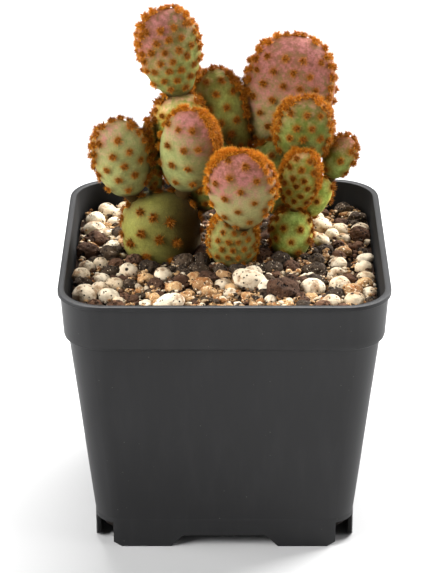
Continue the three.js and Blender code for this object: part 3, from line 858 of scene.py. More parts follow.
@dataclass
class CactusPad:
    """One pad with its neck and its areoles.

    rim_stride is the angle between tries along the rim, rim_lowest and face_limit are the shares
    of the pad that its rim and face tufts keep to, row_share is how far rows lie apart against
    columns, face_shake is how far a face tuft strays, in millimetres, tone_shake and size_shake how
    far its looks do, and apart_share is the least distance between tufts against rim_step.
    """

    spec: PadSpec
    soil_level: float = 71.0
    rim_stride: float = 0.02
    rim_lowest: float = -0.86
    face_limit: float = 0.84
    face_tone: float = 0.8
    face_shake: float = 0.35
    row_share: float = 0.8
    tone_shake: float = 0.15
    size_shake: float = 0.12
    apart_share: float = 0.6
    tuft_height: float = 0.7
    neck_stride: float = 0.03
    neck_from: float = -0.93
    neck_depth: float = 0.75
    root_end: float = 60.0
    around: int = 84
    egg_rings: int = 52
    neck_rings: int = 8
    lump: float = 0.28
    mound: float = 0.32
    mound_reach: float = 1.7
    mound_power: float = 1.3
    mound_sink: float = 0.3
    lump_scale: float = 0.16
    dimple_scale: float = 0.4
    dimple: float = 0.5
    shading: SkinShading = SkinShading()
    areoles: List[Areole] = field(default_factory=list)
    neighbours: List["CactusPad"] = field(default_factory=list)

    def __post_init__(self) -> None:
        """Works out the pad's axes from its lean, pitch and turn."""
        spec = self.spec
        turned = (Matrix.Rotation(math.radians(spec.turn), 3, "Z")
                  @ Matrix.Rotation(math.radians(spec.pitch), 3, "X")
                  @ Matrix.Rotation(math.radians(spec.lean), 3, "Y"))
        self.centre = Vector(spec.centre)
        self.across = turned @ Vector((1, 0, 0))
        self.along = turned @ Vector((0, 0, 1))
        self.outward = turned @ Vector((0, -1, 0))
        self.width, self.height, self.depth = spec.half

    def place(self, x: float, n: float, z: float) -> Vector:
        """The point at x across, n outward and z along the pad."""
        return self.centre + x * self.across + n * self.outward + z * self.along

    def power(self, w: float) -> float:
        """How square the outline is at height share w."""
        return self.spec.square_top if w > 0 else self.spec.square_low

    def fullness(self, w: float) -> float:
        """Half width, as a share, at height share w from -1 to 1."""
        power = self.power(w)
        return max(0.0, 1 - abs(w) ** power) ** (1 / power) * (1 + self.spec.egg * w)

    def measure(self, point: Vector, grow: float = 0.0) -> float:
        """Below 1 inside the pad and above 1 outside.

        Args:
            point: The point to test.
            grow: How much the pad is swollen first.

        Returns:
            The distance in the pad's own proportions, raised to its power.
        """
        offset = point - self.centre
        w = offset.dot(self.along) / (self.height + grow)
        taper = 1 + self.spec.egg * max(-1.0, min(1.0, w))
        spread = math.hypot(offset.dot(self.across) / ((self.width + grow) * taper),
                            offset.dot(self.outward) / ((self.depth + grow) * taper))
        power = self.power(w)
        return spread ** power + abs(w) ** power

    def normal_at(self, x: float, n: float, z: float) -> Vector:
        """The skin's outward direction at a place on it."""
        w = z / self.height
        step = 1e-4
        slope = (self.fullness(min(1.0, w + step)) - self.fullness(max(-1.0, w - step))) / (2 * step)
        rise = -slope * self.fullness(w)
        return (self.place(x / self.width ** 2, n / self.depth ** 2, rise / self.height)
                - self.centre).normalized()

    def neck_end(self, parent: Optional["CactusPad"]) -> Vector:
        """Where the neck ends, inside the parent or down in the mix."""
        end = self.place(0, 0, -self.height)
        if parent is None:
            return Vector((end.x, end.y, self.root_end))
        while parent.measure(end) > self.neck_depth:
            end = end.lerp(parent.centre, self.neck_stride)
        return end

    def spot(self, x: float, n: float, z: float, size: float, tone: float,
             chance: random.Random) -> Areole:
        """An areole at a place on the skin, with a little variety in size and tone."""
        return Areole(self.place(x, n, z), self.normal_at(x, n, z),
                      size * chance.uniform(1 - self.size_shake, 1 + self.size_shake),
                      tone + chance.uniform(-self.tone_shake, self.tone_shake))

    def rim_spots(self, chance: random.Random) -> List[Areole]:
        """Crowded rows along the rim, thinning out toward the base.

        Args:
            chance: The pad's own random numbers.

        Returns:
            The spots of all the rim's rows.
        """
        spec = self.spec
        spots = []
        swings = {2: (-0.24, 0.24), 3: (-0.42, 0.0, 0.42)}[spec.rim_rows]
        for side, crowded in ((0.0, spec.crowded[1]), (math.pi, spec.crowded[0])):
            for row, swing in enumerate(swings):
                if spec.bare_left and side > 0 and swing < -0.3:
                    continue
                travelled = spec.rim_step * (0.5 if row % 2 else 1.0)
                previous = Vector((0.0, self.height))
                angle = 0.0 if side == 0.0 else self.rim_stride
                while angle < math.pi:
                    w = math.cos(angle)
                    full = self.fullness(w)
                    outline = Vector((full * self.width, w * self.height))
                    travelled += (outline - previous).length
                    previous = outline
                    angle += self.rim_stride
                    thinning = 1.5 * max(0.0, crowded - w)
                    step = spec.rim_step * (1.0 + thinning - 0.12 * max(0.0, w) ** 2)
                    if travelled < step or w < self.rim_lowest:
                        continue
                    travelled = chance.uniform(-0.15, 0.15) * step
                    tilt = side + swing + chance.uniform(-0.08, 0.08)
                    crown = max(0.0, w) ** 2
                    size = spec.rim_size * (1.0 + 0.15 * crown if w > -0.2 else 0.88)
                    spots.append(self.spot(full * self.width * math.cos(tilt),
                                           full * self.depth * math.sin(tilt), w * self.height,
                                           size, spec.rim_tone - 0.1 * crown, chance))
        return spots

    def face_spots(self, chance: random.Random) -> List[Areole]:
        """Diagonal rows over both faces, or the pad's own spots on the front one.

        Args:
            chance: The pad's own random numbers.

        Returns:
            The spots of both faces.
        """
        step = self.spec.face_step
        spots = []
        rows = math.ceil(self.height / (step * self.row_share))
        columns = math.ceil(self.width / step) + 1
        for side in (1, -1):
            for row in range(-rows, rows + 1):
                for column in range(-columns, columns + 1):
                    shake = self.face_shake
                    x = (column + (0.5 if row % 2 else 0.0)) * step + chance.uniform(-shake, shake)
                    z = row * step * self.row_share + chance.uniform(-shake, shake)
                    w = z / self.height
                    if abs(w) > self.face_limit:
                        continue
                    full = self.fullness(w)
                    if abs(x) > self.face_limit * full * self.width:
                        continue
                    n = side * self.depth * math.sqrt(full ** 2 - (x / self.width) ** 2)
                    if side < 0 or not self.spec.front_spots:
                        spots.append(self.spot(x, n, z, self.spec.face_size, self.face_tone, chance))
        for x, z in self.spec.front_spots:
            full = self.fullness(z / self.height)
            n = self.depth * math.sqrt(full ** 2 - (x / self.width) ** 2)
            spots.append(self.spot(x, n, z, self.spec.face_size, self.spec.front_tone, chance))
        return spots

    def choose_areoles(self, others: Sequence["CactusPad"]) -> None:
        """Keeps the spots that are above the mix and outside the other pads.

        Args:
            others: The other pads of the plant.
        """
        self.neighbours = list(others)
        chance = random.Random(self.spec.name)
        apart = self.apart_share * self.spec.rim_step
        for spot in self.rim_spots(chance) + self.face_spots(chance):
            tip = spot.point + self.tuft_height * spot.normal
            if spot.point.z < self.soil_level or any(pad.measure(tip) < 1 for pad in others):
                continue
            if all((spot.point - kept.point).length > apart for kept in self.areoles):
                self.areoles.append(spot)

    def rings(self, parent: Optional["CactusPad"]) -> List[Tuple[Vector, float, float]]:
        """Ring centres with their share of full width and their height share, from neck to tip.

        Args:
            parent: The pad that this one grows on.

        Returns:
            One entry for each ring.
        """
        join = self.place(0, 0, self.neck_from * self.height)
        bend = self.place(0, 0, -1.02 * self.height)
        end = self.neck_end(parent)
        rings = []
        neck = self.spec.neck
        joined = self.softened(self.neck_from)
        for step in range(self.neck_rings):
            t = step / self.neck_rings
            centre = end * (1 - t) ** 2 + bend * 2 * t * (1 - t) + join * t ** 2
            rings.append((centre, neck + (joined - neck) * t ** 3, -1.0))
        start = math.acos(self.neck_from)
        for step in range(self.egg_rings):
            angle = start * (1 - step / self.egg_rings)
            w = math.cos(angle)
            rings.append((self.place(0, 0, w * self.height), self.softened(w), w))
        return rings

    def softened(self, w: float) -> float:
        """The half width where the pad's base runs out into its neck."""
        full = self.fullness(w)
        return (full ** 6 + self.spec.neck ** 6) ** (1 / 6) if w < 0 else full

    def make_skin(self, parent: Optional["CactusPad"], material: bpy.types.Material) -> bpy.types.Object:
        """Builds the skin with its soft lumps and a small mound under each areole.

        Args:
            parent: The pad that this one grows on.
            material: The skin's material.

        Returns:
            The pad's skin.
        """
        rings = self.rings(parent)
        rows: List[Vector] = []
        heights: List[float] = []
        for centre, share, w in rings:
            for step in range(self.around):
                angle = math.tau * step / self.around
                rows.append(centre + self.across * (self.width * share * math.cos(angle))
                            - self.outward * (self.depth * share * math.sin(angle)))
                heights.append(w)
        rows += [rings[0][0], self.place(0, 0, self.height)]
        heights += [-1.0, 1.0]
        points = np.array([tuple(row) for row in rows])
        around = self.around
        faces: List[Tuple[int, ...]] = list(ring_faces(len(rings), around))
        foot, tip = len(rows) - 2, len(rows) - 1
        last = (len(rings) - 1) * around
        for step in range(around):
            beside = (step + 1) % around
            faces.append((beside, step, foot))
            faces.append((last + step, last + beside, tip))
        points, halo = self.shaped(points)
        mesh = mesh_from(self.spec.name + "_skin", points, faces)
        self.paint(mesh, points, np.array(heights), halo)
        mesh.materials.append(material)
        return new_object(self.spec.name + "_skin", mesh)

    def shaped(self, points: np.ndarray) -> Tuple[np.ndarray, np.ndarray]:
        """Moves the skin in and out by its lumps and its mounds.

        Args:
            points: The smooth skin.

        Returns:
            The shaped skin, and how near each vertex is to an areole, from 0 to 1.
        """
        centre = np.array(self.centre)
        axis = np.array(self.along)
        offsets = points - centre
        radial = offsets - np.outer(offsets @ axis, axis) * 0.6
        radial /= np.maximum(np.linalg.norm(radial, axis=1), 1e-6)[:, None]
        lumps = np.array([noise.noise(Vector(row) * self.lump_scale)
                          + self.dimple * noise.noise(Vector(row) * self.dimple_scale)
                          for row in points])
        halo = np.zeros(len(points))
        for areole in self.areoles:
            distance = np.linalg.norm(points - np.array(areole.point), axis=1)
            halo = np.maximum(halo, np.exp(-(distance / self.mound_reach) ** 2))
        lift = self.lump * lumps + self.mound * (halo ** self.mound_power - self.mound_sink)
        return points + radial * lift[:, None], halo

    def gaps(self, points: np.ndarray) -> np.ndarray:
        """Roughly how far points lie from this pad's skin, in millimetres, and below 0 inside it.

        Args:
            points: One row of x, y, z for each point.

        Returns:
            One distance for each point.
        """
        offsets = points - np.array(self.centre)
        w = offsets @ np.array(self.along) / self.height
        taper = 1 + self.spec.egg * np.clip(w, -1, 1)
        spread = np.hypot(offsets @ np.array(self.across) / (self.width * taper),
                          offsets @ np.array(self.outward) / (self.depth * taper))
        power = np.where(w > 0, self.spec.square_top, self.spec.square_low)
        scale = (spread ** power + np.abs(w) ** power) ** (1 / power)
        return np.linalg.norm(offsets, axis=1) * (1 - 1 / np.maximum(scale, 1e-3))

    def paint(self, mesh: bpy.types.Mesh, points: np.ndarray, heights: np.ndarray,
              halo: np.ndarray) -> None:
        """Stores what the skin's material reads.

        Args:
            mesh: The skin's mesh.
            points: Its vertices in millimetres.
            heights: The height share of each vertex.
            halo: How near each vertex is to an areole.
        """
        spec, shading = self.spec, self.shading
        low, high = spec.blush
        across = (points - np.array(self.centre)) @ np.array(self.across) / self.width
        blush = np.clip((heights - low) / (high - low) + spec.blush_side * across, 0, 1)
        tip = np.clip((heights - shading.tip_from) / shading.tip_span, 0, 1)
        # Painted shade in the crevices, darkest where another pad comes nearest.
        nearest = np.min([pad.gaps(points) for pad in self.neighbours], axis=0)
        shade_and_brown = shading.crevice_shade_most * np.exp(-(np.maximum(nearest, 0) / spec.crevice_shade) ** 2)
        # Pads in the mix darken toward it; the others darken below the neck, partly with its own brown and
        # partly as painted shade where they join.
        if spec.parent is None:
            above = (points[:, 2] - self.soil_level) / shading.soil_fade
            shade_and_brown = np.maximum(shade_and_brown, np.clip(shading.soil_dark - above, 0, shading.soil_most))
        else:
            below = (shading.neck_from - heights) / shading.neck_fade
            shade_and_brown = np.maximum(shade_and_brown, np.clip(below, 0, shading.neck_most))
        # Painted shade on the side toward +X, which lies in its neighbours' shadow.
        shaded_side = np.clip(across * shading.side_shade_slope + shading.side_shade_middle, 0, 1)
        shade_and_brown = np.maximum(shade_and_brown, spec.side_shade * shaded_side)
        # The tone is partly the pad's own tone and partly painted light and shade.
        for name, values in (("blush", blush * spec.blush_most),
                             ("yellow", np.full(len(points), spec.yellow)),
                             ("tone", spec.tone * (1 + (spec.tip_tone - 1) * tip)),
                             ("bloom", np.full(len(points), spec.bloom)),
                             ("halo", halo ** shading.halo_power), ("shade_and_brown", shade_and_brown)):
            set_attribute(mesh, name, values)


@dataclass
class TuftGrower:
    """Grows the bristle tufts of a pad on its areoles."""

    bristles: int = 90
    reach: float = 1.3
    thickness: float = 0.085
    core: float = 0.78
    spread: float = 1.4
    material: Optional[bpy.types.Material] = None

    def __post_init__(self) -> None:
        """Builds the tree: bristles leave a small felted core in all directions off the skin."""
        recipe = PointRecipe("bristle_tufts", {
            "Bristles": ("NodeSocketInt", 60),
            "Reach": ("NodeSocketFloat", 0.001),
            "Thickness": ("NodeSocketFloat", 0.0001),
            "Core": ("NodeSocketFloat", 0.0005),
            "Spread": ("NodeSocketFloat", 1.4),
            "Material": ("NodeSocketMaterial", None),
        })
        graph = recipe.graph
        self.recipe = recipe
        needle = self.needle(recipe)
        many = graph.pick("Geometry", "GeometryNodeDuplicateElements", {"domain": "POINT"},
                          {"Geometry": recipe.input("Points"), "Amount": recipe.input("Bristles")})
        rise = 1.0 - recipe.random(0.0, 1.0, 11) * (1.0 - graph.math("COSINE", recipe.input("Spread")))
        flat = graph.math("SQRT", graph.math("MAXIMUM", 1.0 - rise * rise, 0.0))
        spin = recipe.random(0.0, math.tau, 12)
        local = graph.pick("Vector", "ShaderNodeCombineXYZ", None, {
            "X": flat * graph.math("COSINE", spin), "Y": flat * graph.math("SINE", spin), "Z": rise})
        way = graph.pick("Vector", "FunctionNodeRotateVector", None, {
            "Vector": local, "Rotation": recipe.aligned(recipe.stored("aim", "FLOAT_VECTOR"))})
        size = recipe.stored("size")
        tone = (recipe.stored("tone") * (0.45 + rise.smooth(0.2, 0.9) * 0.55)
                + recipe.random(-0.15, 0.15, 14))
        toned = recipe.store(many, "tone", tone)
        start = graph.scaled(way, recipe.input("Core") * size * 0.6)
        moved = graph.pick("Geometry", "GeometryNodeSetPosition", None,
                           {"Geometry": toned, "Offset": start})
        hairs = graph.pick("Instances", "GeometryNodeInstanceOnPoints", None, {
            "Points": moved, "Instance": needle,
            "Rotation": recipe.aligned(way), "Scale": size * recipe.random(0.5, 1.1, 13)})
        joined = graph.node("GeometryNodeJoinGeometry")
        for part in (hairs, self.felt(recipe, size)):
            graph.tree.links.new(part.socket, joined.inputs[0])
        recipe.close(graph.out(joined, "Geometry"), recipe.input("Material"))

    @staticmethod
    def needle(recipe: PointRecipe) -> Wire:
        """A three-sided bristle that knows its tip from its root."""
        graph = recipe.graph
        cone = graph.pick("Mesh", "GeometryNodeMeshCone", {"fill_type": "NGON"}, {
            "Vertices": 3, "Side Segments": 1, "Radius Top": 0.0,
            "Radius Bottom": recipe.input("Thickness"), "Depth": recipe.input("Reach")})
        rise = graph.pick("Z", "ShaderNodeSeparateXYZ", None, {"Vector": recipe.position()})
        return recipe.store(cone, "tip", rise / recipe.input("Reach"))

    @staticmethod
    def felt(recipe: PointRecipe, size: Wire) -> Wire:
        """The small dark core of each tuft."""
        graph = recipe.graph
        ball = graph.pick("Mesh", "GeometryNodeMeshIcoSphere", None,
                          {"Radius": recipe.input("Core"), "Subdivisions": 1})
        return graph.pick("Instances", "GeometryNodeInstanceOnPoints", None, {
            "Points": recipe.input("Points"), "Instance": recipe.store(ball, "tip", 0.12),
            "Scale": size})

    def grow(self, pad: CactusPad) -> bpy.types.Object:
        """Grows one pad's tufts.

        Args:
            pad: The pad with its areoles.

        Returns:
            The tufts as one piece.
        """
        areoles = pad.areoles
        return self.recipe.grow(
            pad.spec.name + "_tufts",
            np.array([tuple(areole.point) for areole in areoles]),
            {
                "aim": np.array([tuple(areole.normal) for areole in areoles]),
                "size": np.array([areole.size for areole in areoles]),
                "tone": np.array([areole.tone for areole in areoles]),
            },
            {"Bristles": self.bristles, "Reach": self.reach * MM, "Thickness": self.thickness * MM,
             "Core": self.core * MM, "Spread": self.spread, "Material": self.material},
        )


@dataclass
class Plant:
    """The whole clump of pads."""

    specs: Sequence[PadSpec] = PAD_SPECS

    def __post_init__(self) -> None:
        """Makes the pads and settles which areoles are free."""
        self.pads = {spec.name: CactusPad(spec) for spec in self.specs}
        for pad in self.pads.values():
            pad.choose_areoles([other for other in self.pads.values() if other is not pad])

    def build(self) -> None:
        """Builds each pad's skin and tufts in place of its CAD node."""
        skin = PadSkinFinish().make()
        grower = TuftGrower(material=BristleFinish().make())
        for name, pad in self.pads.items():
            parent = self.pads[pad.spec.parent] if pad.spec.parent else None
            finish_piece(pad.make_skin(parent, skin), "pad_skin", name)
            finish_piece(grower.grow(pad), "pad_skin")

    def blocks(self, x: float, y: float, radius: float, level: float) -> bool:
        """True where a stone of this radius would lie inside a pad that stands in the mix."""
        place = Vector((x, y, level))
        return any(pad.spec.parent is None and pad.measure(place, radius * 0.55) < 1
                   for pad in self.pads.values())


# The pot and the mix


@dataclass(frozen=True)
class Level:
    """A rounded square at one height: its half width and its corner radius in millimetres."""

    z: float
    half: float
    corner: float


@dataclass
class NurseryPot:
    """A square moulded pot on four pairs of feet, with open corners for drainage."""

    height: float = 78.0
    rim_half: float = 45.0
    rim_corner: float = 12.8
    band_half: float = 44.3
    band_bottom: float = 65.0
    body_half: float = 42.15
    body_corner: float = 9.6
    foot_half: float = 36.2
    foot_corner: float = 7.5
    foot_height: float = 8.5
    wall: float = 1.2
    floor_bottom: float = 3.5
    arch_top: float = 11.5
    arch_foot: float = 15.0
    bevel_height: float = 1.3
    notch_height: float = 7.4
    notch_angle: float = 17.9
    drain_radius: float = 4.5
    floor_cut: float = 9.0
    floor_steps: int = 48

    def perimeter(self) -> Tuple[List[Tuple[float, float]], List[float]]:
        """Where the wall has vertices along one quarter, and the height of its lower edge there.

        A vertex is given as its share of the straight stretch and its angle round the corner.

        Returns:
            The vertices, from the middle of one side to the middle of the next, and the heights.
        """
        straight = self.foot_half - self.foot_corner
        stops = [0.0, 4.0, 8.0, self.arch_top, 13.2, self.arch_foot, 18.0, 22.0, 25.5, straight]
        run = [(stop / straight, 0.0) for stop in stops]
        edge = [self.floor_bottom if stop <= self.arch_top else
                max(0.0, self.floor_bottom * (self.arch_foot - stop) / (self.arch_foot - self.arch_top))
                for stop in stops]
        notch = self.notch_angle
        angles = [notch * 0.5, notch, notch + 0.6, 24.0, 31.0, 38.0, 45.0]
        run += [(1.0, angle) for angle in angles]
        edge += [self.bevel_height * 0.5, self.bevel_height] + [self.notch_height] * 5
        mirrored = [(share, 90.0 - angle) for share, angle in reversed(run[:-1])]
        return run + mirrored[:-1], edge + edge[-2:0:-1]

    def ring(self, level: Level) -> List[Tuple[float, float, float]]:
        """The wall's vertices at one level, all the way round."""
        points = []
        middle = level.half - level.corner
        for quarter in range(4):
            turn = Matrix.Rotation(quarter * math.pi / 2, 2)
            for index, (share, angle) in enumerate(self.perimeter()[0]):
                radians = math.radians(angle)
                if angle == 0.0:
                    flat = Vector((level.half, share * middle))
                elif angle == 90.0:
                    flat = Vector((share * middle, level.half))
                else:
                    flat = Vector((middle + level.corner * math.cos(radians),
                                   middle + level.corner * math.sin(radians)))
                flat = turn @ flat
                points.append((flat.x, flat.y, level.z))
        return points

    def outside(self) -> List[Level]:
        """The wall's outer levels from the foot to the lip."""
        foot, body, band, rim = self.foot_half, self.body_half, self.band_half, self.rim_half
        step = self.foot_height
        bottom, top = self.band_bottom, self.height
        return [
            Level(0.0, foot, self.foot_corner),
            Level(step - 0.25, foot + 0.02, self.foot_corner),
            Level(step, foot + 0.01, self.foot_corner),
            Level(step + 0.2, foot - 0.03, self.foot_corner),
            Level(step + 0.5, foot - 0.01, self.foot_corner),
            Level(bottom * 0.4, foot + (body - foot) * 0.31, self.foot_corner + 0.65),
            Level(bottom * 0.7, foot + (body - foot) * 0.655, self.foot_corner + 1.37),
            Level(bottom - 1.0, body, self.body_corner),
            Level(bottom - 0.75, body + 0.15, self.body_corner + 0.3),
            Level(bottom - 0.55, band - 1.25, self.rim_corner - 1.9),
            Level(bottom - 0.3, band - 0.95, self.rim_corner - 1.6),
            Level(bottom + 0.4, band - 0.74, self.rim_corner - 1.3),
            Level(bottom + 1.4, band - 0.68, self.rim_corner - 1.2),
            Level(top - 1.7, band - 0.04, self.rim_corner - 0.7),
            Level(top - 1.45, band + 0.06, self.rim_corner - 0.6),
            Level(top - 1.3, rim - 0.2, self.rim_corner - 0.2),
            Level(top - 1.1, rim, self.rim_corner),
            Level(top - 0.35, rim, self.rim_corner),
            Level(top - 0.1, rim - 0.12, self.rim_corner - 0.1),
            Level(top, rim - 0.4, self.rim_corner - 0.4),
        ]

    def inside(self) -> List[Level]:
        """The wall's inner levels from the lip down to the foot."""
        wall, bottom, top = self.wall, self.band_bottom, self.height
        band, body, foot = self.band_half, self.body_half, self.foot_half
        corner = self.rim_corner - wall
        return [
            Level(top, band - wall + 0.45, corner + 0.2),
            Level(top - 0.1, band - wall + 0.2, corner),
            Level(top - 0.4, band - wall + 0.08, corner - 0.1),
            Level(bottom + 1.2, band - 0.75 - wall, corner - 0.9),
            Level(bottom + 0.2, band - 0.95 - wall, corner - 1.2),
            Level(bottom - 1.4, body - wall, self.body_corner - wall),
            Level(self.foot_height + 0.5, foot - wall - 0.1, self.foot_corner - wall),
            Level(0.0, foot - wall, self.foot_corner - wall),
        ]

    def build(self) -> None:
        """Builds the wall and the floor as one piece in place of the CAD pot."""
        run, edge = self.perimeter()
        count = 4 * len(run)
        levels = self.outside() + self.inside()
        points: List[Tuple[float, float, float]] = []
        for level in levels:
            ring = self.ring(level)
            if level.z == 0.0:
                ring = [(x, y, edge[index % len(run)]) for index, (x, y, _) in enumerate(ring)]
            points += ring
        faces: List[Tuple[int, ...]] = list(ring_faces(len(levels), count))
        last = (len(levels) - 1) * count
        for step in range(count):
            beside = (step + 1) % count
            faces.append((last + step, last + beside, beside, step))
        self.add_floor(points, faces)
        mesh = mesh_from("pot_shell", np.array(points), faces, math.radians(34))
        past_lip = (len(self.outside()) + 2) * count
        set_attribute(mesh, "inside", (np.arange(len(points)) >= past_lip) * 1.0)
        mesh.materials.append(PotPlasticFinish().make())
        finish_piece(new_object("pot_shell", mesh), "pot_plastic", "pot")

    def add_floor(self, points: List[Tuple[float, float, float]], faces: List[Tuple[int, ...]]) -> None:
        """Adds the floor plate with its cut corners and its round drain hole.

        Args:
            points: The pot's vertices, which grow.
            faces: The pot's faces, which grow.
        """
        reach = self.foot_half - self.wall * 0.5
        cut, steps = self.floor_cut, self.floor_steps
        loops = []
        for z in (self.floor_bottom, self.floor_bottom + self.wall):
            for is_hole in (False, True):
                loop = []
                for step in range(steps):
                    angle = math.tau * (step + 0.5) / steps
                    along, up = math.cos(angle), math.sin(angle)
                    if is_hole:
                        radius = self.drain_radius
                    else:
                        radius = min(reach / max(abs(along), abs(up)),
                                     (2 * reach - cut) / (abs(along) + abs(up)))
                    loop.append((radius * along, radius * up, z))
                loops.append(len(points))
                points += loop
        low, low_hole, high, high_hole = loops
        for step in range(steps):
            beside = (step + 1) % steps
            faces.append((high + step, high + beside, high_hole + beside, high_hole + step))
            faces.append((low + beside, low + step, low_hole + step, low_hole + beside))
            faces.append((low + step, low + beside, high + beside, high + step))
            faces.append((low_hole + beside, low_hole + step, high_hole + step, high_hole + beside))


@dataclass
class Stone:
    """One stone of the top layer, in millimetres."""

    x: float
    y: float
    z: float
    radii: Triple
    kind: StoneKind

    @property
    def size(self) -> float:
        """The stone's mean radius."""
        return sum(self.radii) / 3


BIG_STONES: Dict[StoneKind, Tuple[Tuple[float, float, float, float], ...]] = {
    StoneKind.PUMICE: (
        (7.1, -13.9, 5.1, 3.7), (-38.2, -23.2, 3.6, 3.6), (-15.1, -28.3, 4.5, 3.0), (24.3, -17.9, 3.6, 3.0),
        (-34.3, 36.3, 3.0, 2.9), (-37.6, 29.9, 2.9, 2.7), (-40.0, -9.2, 2.4, 3.2), (-26.9, -6.5, 2.9, 2.9),
        (-30.5, -15.9, 2.7, 2.6), (-17.1, -9.2, 2.6, 2.7), (31.9, -15.9, 3.0, 2.9), (29.0, -27.0, 2.8, 2.6),
        (35.5, -25.8, 3.1, 2.7), (31.9, -1.1, 2.6, 2.4), (39.0, -3.8, 2.5, 2.6), (33.4, 22.4, 2.6, 2.4),
        (27.7, 15.1, 2.6, 2.4),
    ),
    StoneKind.RED_LAVA: (
        (16.0, -20.6, 4.7, 4.2), (39.0, 18.0, 3.2, 3.0), (-38.6, 6.6, 3.4, 3.2),
    ),
    StoneKind.CLAY: (
        (-22.1, -11.3, 2.5, 2.2), (-13.9, -17.3, 2.5, 2.3), (-8.5, -10.6, 2.2, 2.1), (-0.4, -9.2, 2.6, 2.1),
        (38.8, -14.6, 2.5, 2.3),
    ),
    StoneKind.BLACK_LAVA: (
        (-32.4, 5.2, 3.0, 3.0), (-26.1, -15.3, 2.3, 2.1), (13.6, -4.5, 2.7, 2.6), (25.9, -5.2, 2.8, 2.5),
        (35.0, 37.6, 2.8, 2.6), (38.9, 31.0, 2.7, 2.6),
    ),
}


@dataclass(frozen=True)
class Roughness:
    """How a kind of stone departs from an egg shape."""

    lump: float
    lump_scale: float
    pit: float
    pit_scale: float
    detail: int


STONE_SHAPES: Dict[StoneKind, Roughness] = {
    StoneKind.PUMICE: Roughness(0.18, 240.0, 0.05, 380.0, 4),
    StoneKind.CLAY: Roughness(0.4, 380.0, 0.06, 620.0, 3),
    StoneKind.RED_LAVA: Roughness(0.38, 420.0, 0.14, 700.0, 4),
    StoneKind.BLACK_LAVA: Roughness(0.38, 420.0, 0.14, 700.0, 4),
}


GRIT_SHAPE = Roughness(0.5, 900.0, 0.0, 900.0, 1)
PEBBLE_DETAIL = 2
FRONT_EDGE = -18
FRONT_HALF = 27


